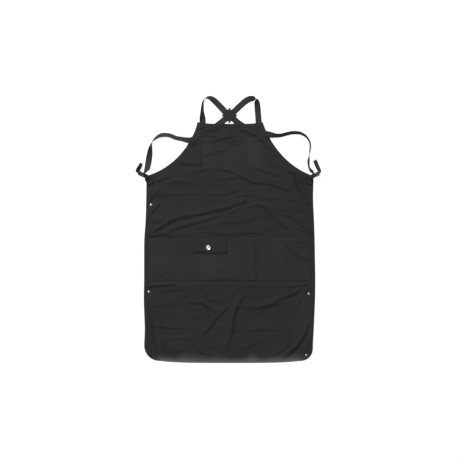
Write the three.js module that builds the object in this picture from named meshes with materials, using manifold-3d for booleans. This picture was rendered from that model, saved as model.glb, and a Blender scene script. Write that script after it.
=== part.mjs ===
// Workshop apron, lying front side up on a flat surface.
// Millimetres. +X runs right across the front, +Y from the hem to the bib, +Z up off the surface.
// The tables are measured from the middle line of the body, and frameShift centres the whole apron.

import * as THREE from 'three';
import { mergeVertices } from 'three/addons/utils/BufferGeometryUtils.js';
import Module from 'manifold-3d';

const wasm = await Module();
wasm.setup();

// Cloth, webbing and the gaps between layers
const frameShift = { x: 6.9, y: 0 };
const canvasWall = 1.2;
const hem = { width: 12, slope: 1.5, extra: 0.9 };
const webbing = { width: 22, thickness: 1.4 };
const layerGap = 0.4;
const seatGap = 0.35;
const sectionStep = 12;
const twistStep = 16;

// Outline of the body
const bib = { top: 408, halfWidth: 124, dip: 7, dipReach: 55 };
const armholeCurve = new THREE.CubicBezierCurve(
  new THREE.Vector2(bib.halfWidth, bib.top),
  new THREE.Vector2(127, 388),
  new THREE.Vector2(173, 252.5),
  new THREE.Vector2(317, 203),
);
const sideRows = table(['y', 'left', 'right'], [
  [203, -317, 317],
  [112, -318, 315],
  [36, -320, 319],
  [-40, -326, 321.5],
  [-192, -326, 324],
  [-268, -327.5, 322],
  [-382, -323, 316],
  [-441, -326, 313],
]);
const skirt = { bottom: -499, cornerRadius: 58, bow: 8, bowReach: 120 };
const bodyBands = table(['to', 'steps'], [
  [396, 1],
  [394.5, 1],
  [353, 3],
  [232, 5],
  [203, 3],
  [-28, 12],
  [-199, 4],
  [-441, 12],
  [-485.5, 3],
  [-487, 1],
  [-499, 3],
]);
const bodyColumnCount = 20;

// Main folds of the cloth: a curve through three points, its height and the reach of each flank
const foldRows = table(['startX', 'startY', 'viaX', 'viaY', 'endX', 'endY', 'height', 'reach'], [
  [-309, -32, -115, 54, 71, 117, 9, 36],
  [5, 224, 99, 197, 215, 142, 6, 30],
  [242, 207, 270, 153, 297, 92, 8, 30],
  [132, 70, 176, 21, 226, -7, 8, 32],
  [253, 4, 278, -13, 303, -29, 5, 26],
  [60, -206, 20, -310, -5, -442, 10, 38],
  [-27, -315, -60, -354, -93, -392, 7, 28],
  [-138, -277, -105, -296, -71, -315, 5, 26],
  [276, -227, 165, -285, 71, -299, 9, 34],
  [-320, -321, -297, -404, -270, -475, 8, 28],
  [-259, -420, -237, -453, -215, -486, 6, 26],
  [309, -376, 264, -437, 204, -486, 9, 30],
  [71, -387, 149, -381, 193, -390, 5, 26],
  [-270, -370, -231, -371, -193, -370, 4, 26],
  [-171, -415, -140, -440, -110, -464, 6, 28],
  [-122, 213, -49, 224, 61, 207, 5, 22],
]);
const foldSamples = 24;
const foldEndShare = 0.15;

// Where the cloth stays flat: under the pockets, round the snaps and under the tabs
const flatZones = table(['left', 'right', 'bottom', 'top', 'sideFade', 'endFade'], [
  [-340, 340, -199, -28, 1, 16],
  [-104, 119, 232, 353, 30, 12],
]);
const snapFlat = { radius: 30, fade: 16 };
const tabFlat = { radius: 34, fade: 22 };
const strapPlateau = { halfWidth: 24, fade: 30, clearance: 0.5 };
const bibReach = { halfWidth: 170, bottom: 330, slant: 0.35 };

// Back clip, with one tunnel for each strap
const clip = {
  x: -2, y: 433, acrossFlats: 44, thickness: 7, bevel: 0.6,
  nubWidth: 7.6, nubReach: 6, tunnelWidth: 23, tunnelHeight: 2, tunnelLength: 80,
  crossAngle: 40, upperStrap: 5, lowerStrap: 2, passHalfLength: 25,
};

// Strap routes: place of the middle, roll about the heading and height of the lowest edge
const strapColumns = ['x', 'y', 'roll', 'lift'];
const leftStrapToClip = table(strapColumns, [
  [-104, 388, 0, 0],
  [-104, 397, 0, 0],
  [-104, 414, 2, 0],
  [-104.5, 425, 24, 0],
  [-105, 437, 46, 0],
  [-105, 450, 60, 0],
  [-104, 469, 70, 0],
  [-101.5, 484.5, 80, 0],
  [-94, 496, 97, 0],
  [-76, 498, 140, 0],
  [-61.5, 488, 165, 0.3],
  [-46, 472.5, 180, 1.8],
  [-31.5, 458, 180, 3.7],
]);
const leftStrapToSlider = table(strapColumns, [
  [29, 408.5, 180, 3],
  [45, 397.5, 180, 1.2],
  [61, 387.5, 180, 0.2],
  [99, 373, 180, 0],
  [125, 366, 180, 0],
  [148, 361, 178, 0],
  [161, 358.5, 165, 0],
  [176, 357, 136, 0],
  [209, 361.5, 122, 0],
  [247, 368, 118, 0],
  [268, 368, 116, 0],
  [285, 355.5, 107, 0],
  [298.5, 344, 103, 0],
  [304, 332.5, 99, 0],
  [305.5, 321, 90, 0],
  [302.5, 298.5, 90, 0],
  [301, 275.5, 95, 0],
  [298.5, 262, 106, 0],
  [298, 252.5, 105, 0.3],
  [299.5, 241.5, 100, 1],
  [304, 230, 107, 2],
  [309.5, 220, 112, 3.2],
]);
const leftStrapTail = table(strapColumns, [
  [340.5, 221.5, 97, 2.6],
  [338, 230, 104, 1.5],
  [332, 238, 113, 0.5],
  [328, 249, 112, 0],
  [324.5, 259, 112, 0],
  [323, 263, 112, 0],
]);
const rightStrapToClip = table(strapColumns, [
  [110, 388, 0, 0],
  [109.5, 397, 0, 0],
  [109, 414, 2, 0],
  [107, 442.5, 12, 0],
  [105, 465.5, 20, 0],
  [102.5, 480.5, 28, 0],
  [99, 490, 62, 0],
  [91, 495, 110, 0],
  [77, 496, 146, 0],
  [62.5, 489.5, 168, 0],
  [52, 481.5, 180, 0.3],
  [36.5, 468, 180, 1],
]);
const rightStrapToSlider = table(strapColumns, [
  [-34, 408.5, 180, 0.7],
  [-50, 398.5, 180, 0.2],
  [-68, 387.5, 180, 0],
  [-102.5, 368.5, 180, 0],
  [-133, 345, 180, 0],
  [-152, 338, 178, 0],
  [-166, 339, 165, 0],
  [-181, 343.5, 138, 0],
  [-209, 349.5, 128, 0],
  [-235.5, 358, 128, 0],
  [-258.5, 359, 128, 0],
  [-270, 355, 120, 0],
  [-284.5, 342.5, 108, 0],
  [-296.5, 331.5, 90, 0],
  [-300, 321, 72, 0],
  [-302.5, 309.5, 58, 0],
  [-305.5, 287, 30, 0],
  [-308, 270, 6, 0],
  [-311, 252.5, 4, 0.2],
  [-313, 241.5, 26, 0.9],
  [-316.5, 230, 48, 2],
  [-320.5, 219.5, 74, 2.8],
]);
const rightStrapTail = table(strapColumns, [
  [-351.5, 221, 72, 2.6],
  [-351, 228, 70, 1.5],
  [-344.5, 235, 70, 0.5],
  [-340, 243, 72, 0],
  [-337.5, 252, 74, 0],
]);

// Sliders: three slots along the strap, the plate leaning on one long edge
const sliderPlate = {
  from: -15, to: 9.5, width: 29, thickness: 2.2, bevel: 0.4, cornerRadius: 3,
  height: 13.6, lean: 62, climb: 25,
};
const sliderSlots = table(['from', 'to', 'width'], [
  [-12.5, -9, 23.8],
  [-6.7, -1.3, 23.4],
  [1.3, 6.7, 23],
]);
const sliderThread = table(['along', 'out'], [
  [-10.2, 6.6],
  [-8.4, 3.1],
  [-6.4, 2.3],
  [-4, 0],
  [-1.6, -2.3],
  [0, -2.45],
  [1.6, -2.3],
  [4, 0],
  [6.3, 2.25],
  [8, 2.6],
  [10, 3.1],
]);
const sliderPlaces = {
  left: { side: -1, x: -337.4, y: 210.9 },
  right: { side: 1, x: 327.6, y: 208.6 },
};

// Tabs: folded webbing from the front of each waist corner round the slider's first bar
const tabRoot = { x: 300, y: 173 };
const tabRows = table(['share', 'lean', 'spread'], [
  [0, 0, 0.9],
  [0.4, 4, 0.95],
  [0.75, 34, 1.5],
]);
const tabTurn = { entry: -20, middle: -12.9, spread: 2.25, reach: 2.2, angles: [-60, -30, 0, 30, 60] };

// Pockets and flap
const waistPocket = { top: -31, bottom: -195, rows: 6 };
const waistCompartments = table(['left', 'right', 'puff', 'columns'], [
  [-308, -148, 3.5, 8],
  [-148, 98, 0, 6],
  [98, 306.5, 4, 8],
]);
const patchPocket = { top: -46, bottom: -192, rows: 5 };
const patchCompartments = table(['left', 'right', 'puff', 'columns'], [
  [-148, -11, 0, 4],
  [-11, 99, 1.5, 6],
]);
const flap = { left: -148.5, right: -11.4, sewnTop: -36, stepStart: -43, stepEnd: -44.5, bottom: -89 };
const chestPockets = table(['name', 'left', 'right', 'top', 'bottom', 'sag', 'puff'], [
  ['pen_pocket_left', -102.5, -59, 351.5, 235.5, 0, 1],
  ['chest_pocket', -57, 63, 333, 235.5, 5, 2.5],
  ['pen_pocket_right', 64.5, 118, 347, 235.5, 0, 1],
]);
const chestGrid = { rows: 8, columns: 8, bodyReach: 10 };

// Button and snaps
const button = { x: -82.5, y: -68.5, sides: 24 };
const buttonProfile = table(['radius', 'height'], [
  [0, 0],
  [8, 0],
  [9, 0.8],
  [9, 2.1],
  [8.3, 2.9],
  [7.2, 3.1],
  [6.2, 2.6],
  [5.6, 2],
  [0, 2],
]);
const snapProfile = table(['radius', 'height'], [
  [0, 0],
  [5, 0],
  [5, 0.8],
  [4.2, 1.6],
  [2.4, 2.1],
  [0, 2.2],
]);
const snapSides = 16;
const snaps = table(['name', 'x', 'y'], [
  ['snap_left_upper', -300, 93],
  ['snap_left_lower', -308, -237.5],
  ['snap_left_hem', -303, -478],
  ['snap_right_upper', 298, 93],
  ['snap_right_lower', 300, -245],
  ['snap_right_hem', 290, -478],
]);

// Finishes
const canvasCloth = new THREE.MeshStandardMaterial({ color: 0x2f2f30, roughness: 0.95, metalness: 0 });
const strapCloth = new THREE.MeshStandardMaterial({ color: 0x3a3a3b, roughness: 0.85, metalness: 0 });
const mattePlastic = new THREE.MeshStandardMaterial({ color: 0x313132, roughness: 0.6, metalness: 0 });
const glossPlastic = new THREE.MeshStandardMaterial({ color: 0x161617, roughness: 0.25, metalness: 0 });
const silverMetal = new THREE.MeshStandardMaterial({ color: 0xd6d6d6, roughness: 0.25, metalness: 1 });
const darkMetal = new THREE.MeshStandardMaterial({ color: 0x4a4a4c, roughness: 0.3, metalness: 1 });

// Small helpers
function table(columns, rows) {
  return rows.map((row) => Object.fromEntries(columns.map((name, index) => [name, row[index]])));
}

function radians(degrees) {
  return THREE.MathUtils.degToRad(degrees);
}

function smooth(value) {
  return THREE.MathUtils.smoothstep(value, 0, 1);
}

function solid(geometry) {
  const bare = geometry.clone();
  bare.deleteAttribute('normal');
  bare.deleteAttribute('uv');
  const merged = mergeVertices(bare);
  const position = merged.getAttribute('position');
  const corner = [new THREE.Vector3(), new THREE.Vector3(), new THREE.Vector3()];
  const kept = [];
  let volume = 0;
  for (let start = 0; start < merged.index.count; start += 3) {
    const triangle = [0, 1, 2].map((step) => merged.index.getX(start + step));
    if (new Set(triangle).size === 3) {
      kept.push(triangle);
      triangle.forEach((vertex, place) => corner[place].fromBufferAttribute(position, vertex));
      volume += corner[0].dot(corner[1].clone().cross(corner[2]));
    }
  }
  const outward = volume > 0 ? kept : kept.map(([a, b, c]) => [a, c, b]);
  merged.setIndex(outward.flat());
  merged.computeVertexNormals();
  return merged;
}

function piece(name, geometry, material) {
  const mesh = new THREE.Mesh(solid(geometry), material);
  mesh.name = name;
  return mesh;
}

// Closed thin solid over a grid of points, rows from top to bottom and columns from left to right
function sheet(rows) {
  const width = rows[0].length;
  const positions = [];
  const indices = [];
  rows.flat().forEach((point) => positions.push(point.x, point.y, point.low));
  rows.flat().forEach((point) => positions.push(point.x, point.y, point.high));
  const lowAt = (row, column) => row * width + column;
  const highAt = (row, column) => rows.length * width + lowAt(row, column);
  for (let row = 0; row < rows.length - 1; row += 1) {
    for (let column = 0; column < width - 1; column += 1) {
      const corners = [[row + 1, column], [row + 1, column + 1], [row, column + 1], [row, column]];
      const [a, b, c, d] = corners.map(([y, x]) => highAt(y, x));
      const [e, f, g, h] = corners.map(([y, x]) => lowAt(y, x));
      indices.push(a, b, c, a, c, d, e, g, f, e, h, g);
    }
  }
  const rim = [];
  const last = { row: rows.length - 1, column: width - 1 };
  for (let column = 0; column < last.column; column += 1) rim.push([last.row, column]);
  for (let row = last.row; row > 0; row -= 1) rim.push([row, last.column]);
  for (let column = last.column; column > 0; column -= 1) rim.push([0, column]);
  for (let row = 0; row < last.row; row += 1) rim.push([row, 0]);
  rim.forEach((place, index) => {
    const next = rim[(index + 1) % rim.length];
    const [a, b, c, d] = [lowAt(...place), lowAt(...next), highAt(...next), highAt(...place)];
    indices.push(a, b, c, a, c, d);
  });
  const geometry = new THREE.BufferGeometry();
  geometry.setAttribute('position', new THREE.Float32BufferAttribute(positions, 3));
  geometry.setIndex(indices);
  return geometry;
}

// Webbing: sections along a route, each with its middle and the direction of its width
function routeSections(stations) {
  const curve = new THREE.CatmullRomCurve3(stations.map((station) => station.centre));
  const last = stations.length - 1;
  const sections = [];
  for (let index = 0; index < last; index += 1) {
    const span = stations[index].centre.distanceTo(stations[index + 1].centre);
    const twist = stations[index].wide.angleTo(stations[index + 1].wide);
    const steps = Math.max(1, Math.ceil(span / sectionStep), Math.ceil(twist / radians(twistStep)));
    for (let step = 0; step < steps; step += 1) {
      const share = step / steps;
      const wide = stations[index].wide.clone().lerp(stations[index + 1].wide, share);
      sections.push({ centre: curve.getPoint((index + share) / last), wide });
    }
  }
  sections.push({ centre: stations[last].centre.clone(), wide: stations[last].wide.clone() });
  sections.forEach((section, index) => {
    const before = sections[Math.max(0, index - 1)].centre;
    const after = sections[Math.min(sections.length - 1, index + 1)].centre;
    const along = after.clone().sub(before).normalize();
    section.wide.addScaledVector(along, -section.wide.dot(along)).normalize();
    section.thick = along.clone().cross(section.wide);
    const halfRise = Math.abs(section.wide.z) * webbing.width / 2;
    const bottom = section.centre.z - halfRise - Math.abs(section.thick.z) * webbing.thickness / 2;
    section.centre.z -= Math.min(0, bottom);
  });
  return sections;
}

function bandGeometry(sections) {
  const positions = [];
  const indices = [];
  sections.forEach((section) => {
    [[1, 1], [-1, 1], [-1, -1], [1, -1]].forEach(([wideSign, thickSign]) => {
      const corner = section.centre.clone();
      corner.addScaledVector(section.wide, wideSign * webbing.width / 2);
      corner.addScaledVector(section.thick, thickSign * webbing.thickness / 2);
      positions.push(corner.x, corner.y, corner.z);
    });
  });
  for (let section = 0; section < sections.length - 1; section += 1) {
    for (let side = 0; side < 4; side += 1) {
      const a = section * 4 + side;
      const b = section * 4 + (side + 1) % 4;
      const under = side === 2;
      indices.push(a, b, under ? a + 4 : b + 4, under ? b : a, b + 4, a + 4);
    }
  }
  const end = (sections.length - 1) * 4;
  indices.push(0, 2, 1, 0, 3, 2, end, end + 1, end + 2, end, end + 2, end + 3);
  const geometry = new THREE.BufferGeometry();
  geometry.setAttribute('position', new THREE.Float32BufferAttribute(positions, 3));
  geometry.setIndex(indices);
  return geometry;
}

// A route row becomes a station once its heading is known from its neighbours
function strapStations(rows) {
  return rows.map((row, index) => {
    if (row.wide) return row;
    const before = rows[Math.max(0, index - 1)];
    const after = rows[Math.min(rows.length - 1, index + 1)];
    const roll = radians(row.roll);
    const heading = new THREE.Vector2(after.x - before.x, after.y - before.y).normalize();
    const wide = new THREE.Vector3(-heading.y, heading.x, 0).multiplyScalar(Math.cos(roll));
    wide.z = Math.sin(roll);
    const halfWidth = Math.abs(Math.sin(roll)) * webbing.width / 2;
    const height = row.lift + halfWidth + Math.abs(Math.cos(roll)) * webbing.thickness / 2;
    return { centre: new THREE.Vector3(row.x, row.y, height), wide };
  });
}

function clipPass(heading, height) {
  const angle = radians(heading);
  return [-clip.passHalfLength, 0, clip.passHalfLength].map((distance) => ({
    x: clip.x + distance * Math.cos(angle),
    y: clip.y + distance * Math.sin(angle),
    roll: 180,
    lift: height - webbing.thickness / 2,
  }));
}

// Slider frame: along the strap, across its width, and out on the upper side of the plate
function sliderFrame({ side, x, y }) {
  const climb = radians(sliderPlate.climb);
  const lean = radians(sliderPlate.lean);
  const along = new THREE.Vector3(side * Math.cos(climb), Math.sin(climb), 0);
  const wide = leaningWidth(along, side, lean);
  const out = wide.clone().cross(along).multiplyScalar(side);
  return { side, centre: new THREE.Vector3(x, y, sliderPlate.height), along, wide, out };
}

function leaningWidth(along, side, lean) {
  const flat = new THREE.Vector3(along.y, -along.x, 0).multiplyScalar(side * Math.cos(lean));
  flat.z = Math.sin(lean);
  return flat;
}

function sliderPoint(frame, along, out) {
  return frame.centre.clone().addScaledVector(frame.along, along).addScaledVector(frame.out, out);
}

function threadRows(frame) {
  return sliderThread.map((row) => {
    const centre = sliderPoint(frame, row.along, row.out);
    return { x: centre.x, y: centre.y, centre, wide: frame.wide.clone() };
  });
}

const leftFrame = sliderFrame(sliderPlaces.left);
const rightFrame = sliderFrame(sliderPlaces.right);

const leftStrapSections = routeSections(strapStations([
  ...leftStrapToClip,
  ...clipPass(-clip.crossAngle, clip.upperStrap),
  ...leftStrapToSlider,
  ...threadRows(rightFrame),
  ...leftStrapTail,
]));
const rightStrapSections = routeSections(strapStations([
  ...rightStrapToClip,
  ...clipPass(clip.crossAngle - 180, clip.lowerStrap),
  ...rightStrapToSlider,
  ...threadRows(leftFrame),
  ...rightStrapTail,
]));

// Body outline
function armholeX(y) {
  let high = 0;
  let low = 1;
  for (let step = 0; step < 30; step += 1) {
    const middle = (high + low) / 2;
    if (armholeCurve.getPoint(middle).y > y) high = middle;
    else low = middle;
  }
  return armholeCurve.getPoint(low).x;
}

function cornerInset(y) {
  const drop = Math.max(0, skirt.bottom + skirt.cornerRadius - y);
  return skirt.cornerRadius - Math.sqrt(Math.max(0, skirt.cornerRadius ** 2 - drop ** 2));
}

function bodyEdges(y) {
  if (y >= sideRows[0].y) return { left: -armholeX(y), right: armholeX(y) };
  const next = sideRows.find((row) => row.y <= y) ?? sideRows.at(-1);
  const previous = sideRows[Math.max(0, sideRows.indexOf(next) - 1)];
  const share = next === previous ? 0 : THREE.MathUtils.clamp((previous.y - y) / (previous.y - next.y), 0, 1);
  const inset = cornerInset(y);
  return {
    left: THREE.MathUtils.lerp(previous.left, next.left, share) + inset,
    right: THREE.MathUtils.lerp(previous.right, next.right, share) - inset,
  };
}

function edgeDistance(x, y) {
  const { left, right } = bodyEdges(y);
  const cornerTop = skirt.bottom + skirt.cornerRadius;
  const corner = bodyEdges(cornerTop);
  const pastLeft = corner.left + skirt.cornerRadius - x;
  const pastRight = x - (corner.right - skirt.cornerRadius);
  const past = Math.max(pastLeft, pastRight);
  if (y < cornerTop && past > 0) return skirt.cornerRadius - Math.hypot(past, cornerTop - y);
  return Math.min(x - left, right - x, bib.top - y, y - skirt.bottom);
}

function bowedY(x, y) {
  const dip = bib.dip * (1 - (x / bib.halfWidth) ** 2) * smooth(1 - (bib.top - y) / bib.dipReach);
  const corner = bodyEdges(skirt.bottom);
  const share = x / Math.max(corner.right, -corner.left);
  const bow = skirt.bow * (1 - share ** 2) * smooth(1 - (y - skirt.bottom) / skirt.bowReach);
  return y - Math.max(0, dip) - Math.max(0, bow);
}

// Height of the cloth's underside: folds, flat zones and the lift over the straps behind the bib
const folds = foldRows.map((row) => {
  const start = new THREE.Vector2(row.startX, row.startY);
  const end = new THREE.Vector2(row.endX, row.endY);
  const bend = new THREE.Vector2(row.viaX, row.viaY).multiplyScalar(2);
  bend.addScaledVector(start, -0.5).addScaledVector(end, -0.5);
  const curve = new THREE.QuadraticBezierCurve(start, bend, end);
  return { ...row, points: curve.getPoints(foldSamples) };
});

function foldHeight(x, y) {
  const heights = folds.map((fold) => {
    const distances = fold.points.map((point) => Math.hypot(point.x - x, point.y - y));
    const distance = Math.min(...distances);
    const share = distances.indexOf(distance) / foldSamples;
    const taper = smooth(Math.min(share, 1 - share) / foldEndShare);
    return fold.height * taper * Math.max(0, 1 - (distance / fold.reach) ** 2) ** 2;
  });
  return Math.max(...heights);
}

function flatShare(x, y) {
  const zoneShares = flatZones.map((zone) => {
    const sideways = Math.max(zone.left - x, x - zone.right, 0) / zone.sideFade;
    const endways = Math.max(zone.bottom - y, y - zone.top, 0) / zone.endFade;
    return smooth(Math.hypot(sideways, endways));
  });
  const snapShares = snaps.map((snap) => {
    return smooth((Math.hypot(x - snap.x, y - snap.y) - snapFlat.radius) / snapFlat.fade);
  });
  const tabDistance = Math.hypot(Math.abs(x) - tabRoot.x, y - tabRoot.y);
  const tabShare = smooth((tabDistance - tabFlat.radius) / tabFlat.fade);
  return Math.min(tabShare, ...zoneShares, ...snapShares);
}

const strapsBehindBib = [...leftStrapSections, ...rightStrapSections].filter((section) => {
  const inside = Math.abs(section.centre.x) < bibReach.halfWidth && section.centre.y > bibReach.bottom;
  const low = section.centre.y < bib.top + strapPlateau.halfWidth;
  return inside && low && Math.abs(section.wide.z) < bibReach.slant;
});

function strapLift(x, y) {
  const lifts = strapsBehindBib.map(({ centre, wide }) => {
    const top = centre.z + (Math.abs(wide.z) * webbing.width + webbing.thickness) / 2;
    const distance = Math.hypot(x - centre.x, y - centre.y);
    const share = 1 - smooth((distance - strapPlateau.halfWidth) / strapPlateau.fade);
    return share * (top + strapPlateau.clearance);
  });
  return Math.max(...lifts);
}

function bodyLow(x, y) {
  return Math.max(foldHeight(x, y) * flatShare(x, y), strapLift(x, y));
}

function hemShare(x, y) {
  return THREE.MathUtils.clamp((hem.width + hem.slope - edgeDistance(x, y)) / hem.slope, 0, 1);
}

function bodyColumns(y) {
  const { left, right } = bodyEdges(y);
  const inner = hem.width + hem.slope;
  const span = right - left - 2 * inner;
  const columns = [left, left + hem.width];
  for (let column = 0; column <= bodyColumnCount; column += 1) {
    columns.push(left + inner + span * column / bodyColumnCount);
  }
  return [...columns, right - hem.width, right];
}

function bodyGeometry() {
  const heights = [bib.top];
  bodyBands.forEach((band) => {
    const from = heights.at(-1);
    for (let step = 1; step <= band.steps; step += 1) {
      heights.push(THREE.MathUtils.lerp(from, band.to, step / band.steps));
    }
  });
  return sheet(heights.map((y) => bodyColumns(y).map((x) => {
    const placed = bowedY(x, y);
    const low = bodyLow(x, placed);
    return { x, y: placed, low, high: low + canvasWall + hem.extra * hemShare(x, y) };
  })));
}

// Pockets
function compartmentColumns(compartments) {
  const columns = [compartments[0].left];
  compartments.forEach(({ left, right, columns: count }) => {
    for (let column = 1; column <= count; column += 1) {
      columns.push(THREE.MathUtils.lerp(left, right, column / count));
    }
  });
  return columns;
}

function puffAt(compartments, x, mouthShare) {
  const found = compartments.find(({ left, right }) => x >= left && x <= right);
  const across = Math.sin(Math.PI * (x - found.left) / (found.right - found.left)) ** 2;
  return found.puff * across * smooth(mouthShare);
}

function pocketGeometry(pocket, compartments, low) {
  const rows = [];
  for (let row = 0; row <= pocket.rows; row += 1) {
    const mouthShare = 1 - row / pocket.rows;
    const y = THREE.MathUtils.lerp(pocket.bottom, pocket.top, mouthShare);
    rows.push(compartmentColumns(compartments).map((x) => {
      const raised = low + puffAt(compartments, x, mouthShare);
      return { x, y, low: raised, high: raised + canvasWall };
    }));
  }
  return sheet(rows);
}

function chestRest(x, y) {
  const reach = [-chestGrid.bodyReach, 0, chestGrid.bodyReach];
  const around = reach.flatMap((dx) => reach.map((dy) => bodyLow(x + dx, y + dy)));
  return Math.max(...around) + canvasWall + layerGap;
}

function chestGeometry(pocket) {
  const rows = [];
  for (let row = 0; row <= chestGrid.rows; row += 1) {
    const mouthShare = 1 - row / chestGrid.rows;
    const points = [];
    for (let column = 0; column <= chestGrid.columns; column += 1) {
      const across = column / chestGrid.columns;
      const x = THREE.MathUtils.lerp(pocket.left, pocket.right, across);
      const middle = Math.sin(Math.PI * across) ** 2;
      const y = THREE.MathUtils.lerp(pocket.bottom, pocket.top - pocket.sag * middle, mouthShare);
      const low = chestRest(x, y) + pocket.puff * middle * smooth(mouthShare);
      points.push({ x, y, low, high: low + canvasWall });
    }
    rows.push(points);
  }
  return sheet(rows);
}

function flapGeometry(sewnLow, raisedLow) {
  const rows = table(['y', 'low'], [
    [flap.sewnTop, sewnLow],
    [flap.stepStart, sewnLow],
    [flap.stepEnd, raisedLow],
    [flap.bottom, raisedLow],
  ]);
  return sheet(rows.map(({ y, low }) => [flap.left, flap.right].map((x) => {
    return { x, y, low, high: low + canvasWall };
  })));
}

// Hard pieces
function latheGeometry(profile, sides) {
  const points = profile.map(({ radius, height }) => new THREE.Vector2(radius, height));
  return new THREE.LatheGeometry(points, sides).rotateX(Math.PI / 2);
}

function manifoldOf(geometry) {
  const closed = solid(geometry);
  return new wasm.Manifold(new wasm.Mesh({
    numProp: 3,
    vertProperties: new Float32Array(closed.getAttribute('position').array),
    triVerts: new Uint32Array(closed.index.array),
  }));
}

function clipGeometry() {
  const half = clip.acrossFlats / 2;
  const halfFlat = half * Math.tan(radians(22.5));
  const halfNub = clip.nubWidth / 2;
  const side = [
    [half, -halfFlat],
    [half, -halfNub],
    [half + clip.nubReach, -halfNub],
    [half + clip.nubReach, halfNub],
    [half, halfNub],
    [half, halfFlat],
  ];
  const outline = [0, 90, 180, 270].flatMap((turn) => side.map(([x, y]) => {
    return new THREE.Vector2(x, y).rotateAround(new THREE.Vector2(), radians(turn));
  }));
  const plate = new THREE.ExtrudeGeometry(new THREE.Shape(outline), {
    depth: clip.thickness - 2 * clip.bevel,
    bevelThickness: clip.bevel,
    bevelSize: clip.bevel,
    bevelOffset: -clip.bevel,
    bevelSegments: 1,
  });
  plate.translate(0, 0, clip.bevel);
  const tunnels = table(['heading', 'height'], [
    [-clip.crossAngle, clip.upperStrap],
    [clip.crossAngle, clip.lowerStrap],
  ]);
  let body = manifoldOf(plate);
  tunnels.forEach(({ heading, height }) => {
    const tunnel = new THREE.BoxGeometry(clip.tunnelLength, clip.tunnelWidth, clip.tunnelHeight);
    tunnel.rotateZ(radians(heading)).translate(0, 0, height);
    body = body.subtract(manifoldOf(tunnel));
  });
  const cut = body.getMesh();
  const geometry = new THREE.BufferGeometry();
  geometry.setAttribute('position', new THREE.Float32BufferAttribute(cut.vertProperties, 3));
  geometry.setIndex([...cut.triVerts]);
  return geometry.translate(clip.x, clip.y, 0);
}

function sliderGeometry(frame) {
  const { from, to, cornerRadius } = sliderPlate;
  const half = sliderPlate.width / 2;
  const outline = new THREE.Shape();
  outline.absarc(to - cornerRadius, half - cornerRadius, cornerRadius, 0, Math.PI / 2);
  outline.absarc(from + cornerRadius, half - cornerRadius, cornerRadius, Math.PI / 2, Math.PI);
  outline.absarc(from + cornerRadius, cornerRadius - half, cornerRadius, Math.PI, 1.5 * Math.PI);
  outline.absarc(to - cornerRadius, cornerRadius - half, cornerRadius, 1.5 * Math.PI, 2 * Math.PI);
  sliderSlots.forEach((slot) => {
    const halfSlot = slot.width / 2;
    const hole = new THREE.Path();
    hole.moveTo(slot.from, -halfSlot);
    hole.lineTo(slot.from, halfSlot);
    hole.lineTo(slot.to, halfSlot);
    hole.lineTo(slot.to, -halfSlot);
    hole.closePath();
    outline.holes.push(hole);
  });
  const plate = new THREE.ExtrudeGeometry(outline, {
    depth: sliderPlate.thickness - 2 * sliderPlate.bevel,
    bevelThickness: sliderPlate.bevel,
    bevelSize: sliderPlate.bevel,
    bevelOffset: -sliderPlate.bevel,
    bevelSegments: 1,
    curveSegments: 4,
  });
  plate.translate(0, 0, sliderPlate.bevel - sliderPlate.thickness / 2);
  const normal = frame.along.clone().cross(frame.wide);
  const turn = new THREE.Matrix4().makeBasis(frame.along, frame.wide, normal);
  return plate.applyMatrix4(turn.setPosition(frame.centre));
}

function tabGeometry(frame) {
  const seat = canvasWall + hem.extra + seatGap;
  const root = new THREE.Vector3(frame.side * tabRoot.x, tabRoot.y, 0);
  const entry = sliderPoint(frame, tabTurn.entry, 0);
  const heading = new THREE.Vector3(entry.x - root.x, entry.y - root.y, 0).normalize();
  const layer = tabRows.map((row) => {
    const lean = radians(row.lean);
    const wide = leaningWidth(heading, frame.side, lean);
    const out = wide.clone().cross(heading).multiplyScalar(frame.side);
    const centre = root.clone().lerp(entry, row.share);
    const thickRise = (row.spread + webbing.thickness / 2) * Math.cos(lean);
    centre.z = seat + thickRise + Math.sin(lean) * webbing.width / 2;
    return { centre, wide, out, spread: row.spread };
  });
  [tabTurn.entry, tabTurn.middle].forEach((along) => {
    const centre = sliderPoint(frame, along, 0);
    layer.push({ centre, wide: frame.wide, out: frame.out, spread: tabTurn.spread });
  });
  const layerStation = (row, side) => ({
    centre: row.centre.clone().addScaledVector(row.out, side * row.spread),
    wide: row.wide.clone(),
  });
  const turn = tabTurn.angles.map((degrees) => {
    const angle = radians(degrees);
    const along = tabTurn.middle + tabTurn.reach * Math.cos(angle);
    const centre = sliderPoint(frame, along, tabTurn.spread * Math.sin(angle));
    return { centre, wide: frame.wide.clone() };
  });
  const under = layer.map((row) => layerStation(row, -1));
  const over = layer.map((row) => layerStation(row, 1)).reverse();
  return bandGeometry(routeSections([...under, ...turn, ...over]));
}

// Assembly
const waistLow = canvasWall + layerGap;
const patchLow = waistLow + canvasWall + layerGap;
const flapLow = patchLow + canvasWall + layerGap;

const apron = new THREE.Group();
apron.add(piece('apron_body', bodyGeometry(), canvasCloth));
apron.add(piece('waist_pocket', pocketGeometry(waistPocket, waistCompartments, waistLow), canvasCloth));
apron.add(piece('patch_pocket', pocketGeometry(patchPocket, patchCompartments, patchLow), canvasCloth));
apron.add(piece('pocket_flap', flapGeometry(patchLow, flapLow), canvasCloth));
chestPockets.forEach((pocket) => {
  apron.add(piece(pocket.name, chestGeometry(pocket), canvasCloth));
});
apron.add(piece('left_strap', bandGeometry(leftStrapSections), strapCloth));
apron.add(piece('right_strap', bandGeometry(rightStrapSections), strapCloth));
apron.add(piece('left_tab', tabGeometry(leftFrame), strapCloth));
apron.add(piece('right_tab', tabGeometry(rightFrame), strapCloth));
apron.add(piece('cross_clip', clipGeometry(), mattePlastic));
apron.add(piece('left_slider', sliderGeometry(leftFrame), glossPlastic));
apron.add(piece('right_slider', sliderGeometry(rightFrame), glossPlastic));

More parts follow.
